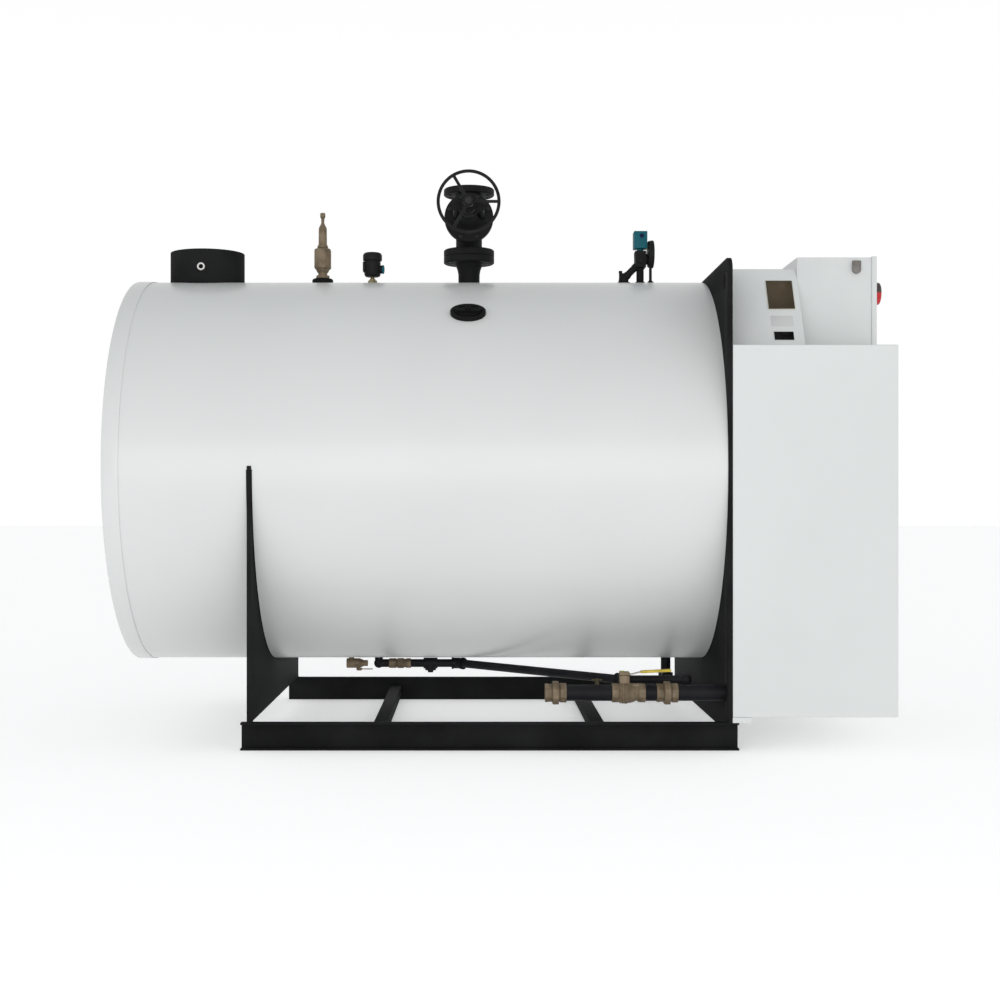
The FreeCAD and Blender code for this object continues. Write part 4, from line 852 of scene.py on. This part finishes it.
for number in range(31):
    long = 0.0075 if number % 5 == 0 else 0.0040
    mark = block((0.0192, -0.0006, 0.0465 - long), (0.0197, 0.0006, 0.0465), 0.0001, 1)
    marks.append(swung(mark, (gauge_x, 0, gauge_z), (math.radians(DIAL_START + 9 * number), 0, 0)))
needle = block((0.0200, -0.0009, -0.012), (0.0207, 0.0009, 0.0360), 0.0003, 1)
marks.append(swung(needle, (gauge_x, 0, gauge_z), (math.radians(DIAL_START), 0, 0)))
marks.append(machined([(0.0192, 0.0045), (0.0215, 0.0045), (0.0222, 0.0035)], 24,
    (gauge_x, 0, gauge_z), TO_BURNER, ease=0.0003))
fitted(joined(marks), "gauge_marks_and_needle", case_black)


# ---------------------------------------- the burner cabinet
# Folded sheet steel boxes with a white powder coat: the burner cabinet bolted to the
# end plate, the console and the upper housing that stand on it.

powder = paint("white_powder_coat", (0.628, 0.647, 0.641), (0.65, 0.67, 0.664), 0.5, 2.0, 420,
    0.06, gloss=0.3)
dress(powder, "burner_cabinet", "cabinet_brackets")
softened("upper_housing", "upper_housing_box", 0.0022, powder)
softened("control_console", "console_box", 0.0022, powder)
softened("housing_cover_panel", "housing_front_cover", 0.0030, powder)


# ---------------------------------------- the console's face
# A touch screen in a thin dark surround with a putty-coloured gasket, a blank grey
# plate below it and a small black readout, all on the sloped face of the console.

SLOPE = 0.5773
FACE_RISE = 0.866
BEND_Y = 0.466
BEND_Z = 1.782
face_out = Vector((0, -FACE_RISE, 0.5))


def on_face(x_low, x_high, z_low, z_high, depth, finish, name, inlay=None, edge=0.0035,
            node=None):
    """A flat plate on the sloped face, sunk in the middle where it has an inlay."""
    tall = (z_high - z_low) / FACE_RISE
    wide = x_high - x_low
    piece = block((-wide / 2, -tall / 2, -0.003), (wide / 2, tall / 2, depth), 0.0006)
    if inlay:
        bpy.ops.object.mode_set(mode="EDIT")
        bpy.ops.mesh.select_all(action="DESELECT")
        bpy.ops.object.mode_set(mode="OBJECT")
        top = max(piece.data.polygons, key=lambda face: face.center.z * 1000 + face.area)
        top.select = True
        bpy.ops.object.mode_set(mode="EDIT")
        bpy.ops.mesh.select_mode(type="FACE")
        bpy.ops.mesh.inset(thickness=edge)
        bpy.ops.mesh.extrude_region_move(TRANSFORM_OT_translate={"value": (0, 0, -0.0012)})
        bpy.ops.object.mode_set(mode="OBJECT")
        sunk = [face.index for face in piece.data.polygons if face.select]
    middle_z = (z_low + z_high) / 2
    place = Vector(((x_low + x_high) / 2, -(BEND_Y + (BEND_Z - middle_z) * SLOPE), middle_z))
    stood(piece, place, face_out)
    fitted(piece, name, finish, node)
    if inlay:
        piece.data.materials.append(inlay)
        for index in sunk:
            piece.data.polygons[index].material_index = 1
    return piece


gasket = paint("putty_gasket", (0.60, 0.58, 0.44), (0.66, 0.64, 0.50), 0.6, 20, 400, 0.05)
dark_edge = paint("dark_screen_edge", (0.03, 0.024, 0.017), (0.042, 0.034, 0.024), 0.45, 20, 400,
    0.05)
brown_glass = paint("brown_screen_glass", (0.072, 0.054, 0.032), (0.082, 0.062, 0.038), 0.4, 6,
    300, 0.01, gloss=0.12)
black_glass = paint("black_readout_glass", (0.002, 0.002, 0.002), (0.004, 0.004, 0.004), 0.35, 8,
    300, 0.01, gloss=0.08)
label_grey = paint("grey_blank_plate", (0.57, 0.582, 0.577), (0.59, 0.602, 0.597), 0.55, 10, 400,
    0.03)
screen_low, screen_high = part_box("operator_screen")
on_face(screen_low[0] - 0.0018, screen_high[0] + 0.0018, screen_low[2] - 0.001,
    screen_high[2] + 0.0006, 0.0022, gasket, "screen_gasket")
on_face(screen_low[0], screen_high[0], screen_low[2] + 0.001, screen_high[2] - 0.0012, 0.0045,
    dark_edge, "touch_screen", brown_glass, 0.003, "operator_screen")
on_face(1.032, 1.117, 1.580, 1.623, 0.0008, label_grey, "blank_rating_plate")
on_face(1.0345, 1.1145, 1.5215, 1.5605, 0.002, powder, "readout_bezel",
    black_glass, 0.0022)


# ---------------------------------------- latch and lamp
# A pressed steel toggle latch holds the lift-off cover, and a round alarm lamp with a
# smoked upper half and a red lower half is let into the cover.

latch_steel = paint("brushed_latch_steel", (0.13, 0.118, 0.11), (0.2, 0.185, 0.175), 0.42, 30, 500,
    0.1, metal=0.35, stretch=(1, 1, 0.15))
softened("cover_latch", "toggle_latch", 0.0012, latch_steel)
latch_low, latch_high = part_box("cover_latch")
latch_x = centre("cover_latch")[0]
rivets = [machined([(0, 0.0035), (0.001, 0.0032), (0.0018, 0.0018)], 16,
    (latch_x + dx, latch_low[1] + 0.0004, latch_high[2] - 0.009), TO_FRONT, ease=0.0002)
    for dx in (-0.009, 0.009)]
rivets.append(block((latch_x - 0.013, latch_low[1] - 0.0012, latch_high[2] - 0.0205),
    (latch_x + 0.013, latch_low[1] + 0.001, latch_high[2] - 0.0175), 0.0006))
fitted(joined(rivets), "latch_rivets_and_fold", latch_steel)

lamp_lens = paint("two_tone_lamp_lens", (0.42, 0.006, 0.01), (0.56, 0.012, 0.018), 0.25, 10, 200,
    0.05, gloss=0.5)
lamp_low, lamp_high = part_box("indicator_lamp")
lamp_middle = centre("indicator_lamp")
tree = lamp_lens.node_tree
where = tree.nodes.new("ShaderNodeTexCoord")
apart = tree.nodes.new("ShaderNodeSeparateXYZ")
tree.links.new(where.outputs["Object"], apart.inputs[0])
half = tree.nodes.new("ShaderNodeMapRange")
half.inputs["From Min"].default_value = lamp_middle[2] - 0.0006
half.inputs["From Max"].default_value = lamp_middle[2] + 0.0006
tree.links.new(apart.outputs["Z"], half.inputs["Value"])
smoked = tree.nodes.new("ShaderNodeMix")
smoked.data_type = "RGBA"
smoked.inputs["B"].default_value = (0.045, 0.033, 0.030, 1)
tree.links.new(half.outputs["Result"], smoked.inputs["Factor"])
tree.links.new(tree.nodes["tone"].outputs["Color"], smoked.inputs["A"])
tree.links.new(smoked.outputs["Result"], tree.nodes["Principled BSDF"].inputs["Base Color"])
deep = lamp_high[0] - lamp_low[0]
lens = turned([(0, 0.0455), (0.001, 0.0465), (0.0075, 0.0465), (0.0084, 0.0455), (0.0084, 0.0445),
    (deep - 0.006, 0.0435), (deep - 0.0025, 0.042), (deep - 0.0006, 0.0385), (deep, 0.033),
    (deep, 0.01)], 72)
smoothed(stood(lens, (lamp_low[0], lamp_middle[1], lamp_middle[2]), TO_BURNER), 50)
fitted(lens, "alarm_lamp_lens", lamp_lens, "indicator_lamp")


# ---------------------------------------- the drain piping
# Black steel pipe and banded iron fittings gather the shell's two drain taps into one
# header. The union and the drain cock at the rear are bronze.

dress(pipe_black, "drain_header", "drain_drop", "drain_riser")
dress(bronze, "drain_valve")
union_low, union_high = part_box("drain_union")
drain_z = centre("drain_union")[2]
length = union_high[0] - union_low[0]
union = [
    stood(turned([(0, 0.0195), (0.002, 0.0212), (0.03, 0.0212), (0.032, 0.0195)], 8),
        (union_low[0], 0, drain_z), TO_BURNER, FLAT_UP),
    stood(turned([(0.032, 0.018), (0.034, 0.018), (0.035, 0.0218), (0.037, 0.023), (0.06, 0.023),
        (0.063, 0.0214)], 6), (union_low[0], 0, drain_z), TO_BURNER, 0),
    stood(turned([(0.062, 0.019), (0.07, 0.0185), (0.071, 0.0198), (0.073, 0.021),
        (length - 0.0014, 0.021), (length, 0.0195)], 8), (union_low[0], 0, drain_z), TO_BURNER,
        FLAT_UP),
]
for part in union:
    eased(part, 0.0006)
fitted(joined(union), "drain_union_bronze", bronze, "drain_union")

cock_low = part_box("drain_valve")[0]
cock = [
    machined([(-0.0004, 0.019), (0.0008, 0.0204), (0.0105, 0.0204), (0.012, 0.019)], 6,
        (cock_low[0] + 0.0008, 0, drain_z), TO_BURNER),
    machined([(0, 0.019), (0.0012, 0.0204), (0.0085, 0.0204), (0.01, 0.019)], 6,
        (cock_low[0] + 0.044, 0, drain_z), TO_BURNER),
    machined([(0, 0.01), (0.007, 0.0105), (0.0085, 0.009)], 6,
        (cock_low[0] + 0.0544, 0, drain_z - 0.02), (0, 0, -1), ease=0.0005),
    machined([(0, 0.0065), (0.004, 0.0068), (0.005, 0.0055)], 6,
        (cock_low[0] + 0.0544, 0, drain_z - 0.0262), (0, 0, -1), ease=0.0003),
]
fitted(joined(cock), "drain_cock_hexagons", bronze)


# ---------------------------------------- the gas line
# Two-inch black pipe runs from an open bronze union, through the shut-off valve and a
# second union, to the end plate. Each union is three eight-sided rings.

dress(pipe_black, "gas_pipes")
gas_y, gas_z = centre("gas_union_inlet")[1:]
GAS_BORE = 0.0264
for node, name in (("gas_union_inlet", "inlet_union"), ("gas_union_burner", "burner_union")):
    spot = (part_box(node)[0][0], gas_y, gas_z)
    rings = [
        stood(turned([(0, 0.034), (0.002, 0.0362), (0.01, 0.0362), (0.011, 0.0348),
            (0.0285, 0.0348)], 8), spot, TO_BURNER, FLAT_UP),
        stood(turned([(0.0275, 0.0375), (0.028, 0.043), (0.0295, 0.0452), (0.05, 0.0452),
            (0.0515, 0.043), (0.052, 0.0375)], 8), spot, TO_BURNER, FLAT_UP),
        stood(turned([(0.0515, 0.035), (0.056, 0.035), (0.0575, 0.0375), (0.0785, 0.0375),
            (0.08, 0.0355)], 8), spot, TO_BURNER, FLAT_UP),
    ]
    for part in rings:
        eased(part, 0.0009)
        bored(part, stood(turned([(-0.02, GAS_BORE), (0.072, GAS_BORE)], 48),
            spot, TO_BURNER))
        smoothed(part)
    fitted(joined(rings), name, bronze, node)


# ---------------------------------------- the gas shut-off valve
# A bronze ball valve: eight-sided sockets, a ribbed round body, a square stem block and
# a flat plated lever that is bent up and dipped in yellow vinyl.

spot = (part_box("gas_ball_valve")[0][0], gas_y, gas_z)
stem_x = spot[0] + 0.0472
BLOCK_TOP = 0.2690
valve = [
    stood(turned([(0, 0.035), (0.002, 0.037), (0.024, 0.037), (0.026, 0.035)], 8),
        spot, TO_BURNER, FLAT_UP),
    stood(turned([(0.024, 0.0335), (0.027, 0.0335), (0.03, 0.0395), (0.0335, 0.0395),
        (0.0345, 0.037), (0.037, 0.037), (0.0385, 0.0405), (0.043, 0.0408), (0.044, 0.0385),
        (0.047, 0.0385), (0.048, 0.0408), (0.053, 0.0408), (0.056, 0.04), (0.06, 0.0385),
        (0.07, 0.037), (0.082, 0.0335), (0.087, 0.03), (0.0945, 0.03), (0.0975, 0.0335),
        (0.099, 0.0335)], 64), spot, TO_BURNER),
    stood(turned([(0.0978, 0.0345), (0.1, 0.0368), (0.1225, 0.0368), (0.1248, 0.0345)], 8),
        spot, TO_BURNER, FLAT_UP),
    block((stem_x - 0.0185, gas_y - 0.017, gas_z + 0.028), (stem_x + 0.0185, gas_y + 0.017,
        BLOCK_TOP), 0.003, 3),
    block((stem_x - 0.0155, gas_y - 0.019, gas_z + 0.034), (stem_x - 0.0095, gas_y + 0.019,
        BLOCK_TOP - 0.002), 0.0012),
    block((stem_x + 0.0095, gas_y - 0.019, gas_z + 0.034), (stem_x + 0.0155, gas_y + 0.019,
        BLOCK_TOP - 0.002), 0.0012),
    block((stem_x - 0.004, gas_y - 0.0185, gas_z + 0.02), (stem_x + 0.07, gas_y + 0.0185,
        gas_z + 0.0345), 0.005, 3),
]
for part in valve[:3]:
    eased(part, 0.0009)
fitted(joined(valve), "ball_valve_bronze", bronze, "gas_ball_valve")

lever_steel = paint("plated_lever_steel", (0.28, 0.26, 0.23), (0.42, 0.4, 0.36), 0.35, 20, 500,
    0.1, metal=0.7, stretch=(0.1, 1, 1))
vinyl = paint("yellow_dipped_vinyl", (0.42, 0.31, 0.012), (0.56, 0.43, 0.035), 0.4, 30, 500, 0.12,
    gloss=0.5)


def bent_strip(line, half_width, half_thick, ease):
    """A flat strip that follows a line of (x, z) points, bent up like the real lever."""
    x, z = line[0]
    bpy.ops.object.select_all(action="DESELECT")
    bpy.ops.mesh.primitive_plane_add(size=1, location=(x, gas_y, z), rotation=(0, math.pi / 2, 0))
    piece = bpy.context.object
    piece.scale = (2 * half_thick, 2 * half_width, 1)
    baked(piece)
    bpy.ops.object.mode_set(mode="EDIT")
    bpy.ops.mesh.select_all(action="SELECT")
    for point, following in zip(line, line[1:]):
        draw = {"value": (following[0] - point[0], 0, following[1] - point[1])}
        bpy.ops.mesh.extrude_region_move(TRANSFORM_OT_translate=draw)
    return eased(drawn(piece), ease)


LEVER_LOW = 0.2715
lever = bent_strip([(stem_x - 0.0155, LEVER_LOW), (stem_x + 0.02, LEVER_LOW),
    (stem_x + 0.026, LEVER_LOW + 0.0006), (stem_x + 0.056, LEVER_LOW + 0.0085),
    (stem_x + 0.062, LEVER_LOW + 0.0095), (stem_x + 0.171, LEVER_LOW + 0.015)], 0.01, 0.0018,
    0.0005)
fitted(lever, "ball_valve_lever", lever_steel, "gas_valve_lever", "gas_lever")
grip = bent_strip([(stem_x + 0.06, LEVER_LOW + 0.0094), (stem_x + 0.064, LEVER_LOW + 0.0097),
    (stem_x + 0.12, LEVER_LOW + 0.0125), (stem_x + 0.1735, LEVER_LOW + 0.0152)], 0.0125, 0.0048,
    0.003)
fitted(grip, "lever_vinyl_grip", vinyl, "gas_valve_grip", "gas_lever")

HUB_LOW = 0.2694
HUB_TOP = 0.2826
hub = [
    block((stem_x - 0.0185, gas_y - 0.0165, HUB_LOW), (stem_x - 0.0015, gas_y + 0.0165, HUB_TOP),
        0.002, 3),
    block((stem_x - 0.003, gas_y - 0.015, HUB_LOW), (stem_x + 0.0185, gas_y + 0.015,
        HUB_TOP - 0.0004), 0.0028, 3),
]
fitted(joined(hub), "lever_hub_block", bronze, body="gas_lever")
olive = paint("yellow_green_vinyl", (0.2, 0.21, 0.012), (0.3, 0.31, 0.03), 0.45, 30, 500, 0.12,
    gloss=0.3)
strip = block((stem_x - 0.0175, gas_y - 0.015, HUB_TOP - 0.0004),
    (stem_x + 0.001, gas_y + 0.015, HUB_TOP + 0.0012), 0.0006)
fitted(strip, "lever_hub_strip", olive, body="gas_lever")


# ---------------------------------------- the petcock
# A small bronze test cock, screwed by its hexagon into a tapping on top of the gas pipe and turned
# by a little T-handle with rounded ends. Its bronze is painted much darker than the other bronze
# fittings, as painted shade.

# Painted shade: a darker copy of the bronze, standing for the shade the petcock sits in.
bronze_painted_shade = paint("olive_bronze_painted_shade", (0.045, 0.038, 0.02), (0.085, 0.07, 0.04), 0.55, 40, 300,
    0.3, metal=0.2, gloss=0.2)
dress(bronze_painted_shade, "gas_petcock", "petcock_handle")
cock_x = centre("gas_petcock")[0]
collar = machined([(0, 0.0092), (0.0045, 0.0092), (0.0055, 0.008)], 6,
    (cock_x, gas_y, gas_z + 0.03), ease=0.0003)
fitted(collar, "petcock_hexagon", bronze_painted_shade)
knobs = [machined([(0, 0.003), (0.0008, 0.0042), (0.004, 0.0042), (0.005, 0.003)], 20,
    (cock_x + dx, gas_y, 0.25135), TO_BURNER, ease=0.0003) for dx in (-0.0193, 0.0143)]
fitted(joined(knobs), "petcock_handle_ends", bronze_painted_shade, body="petcock_key")
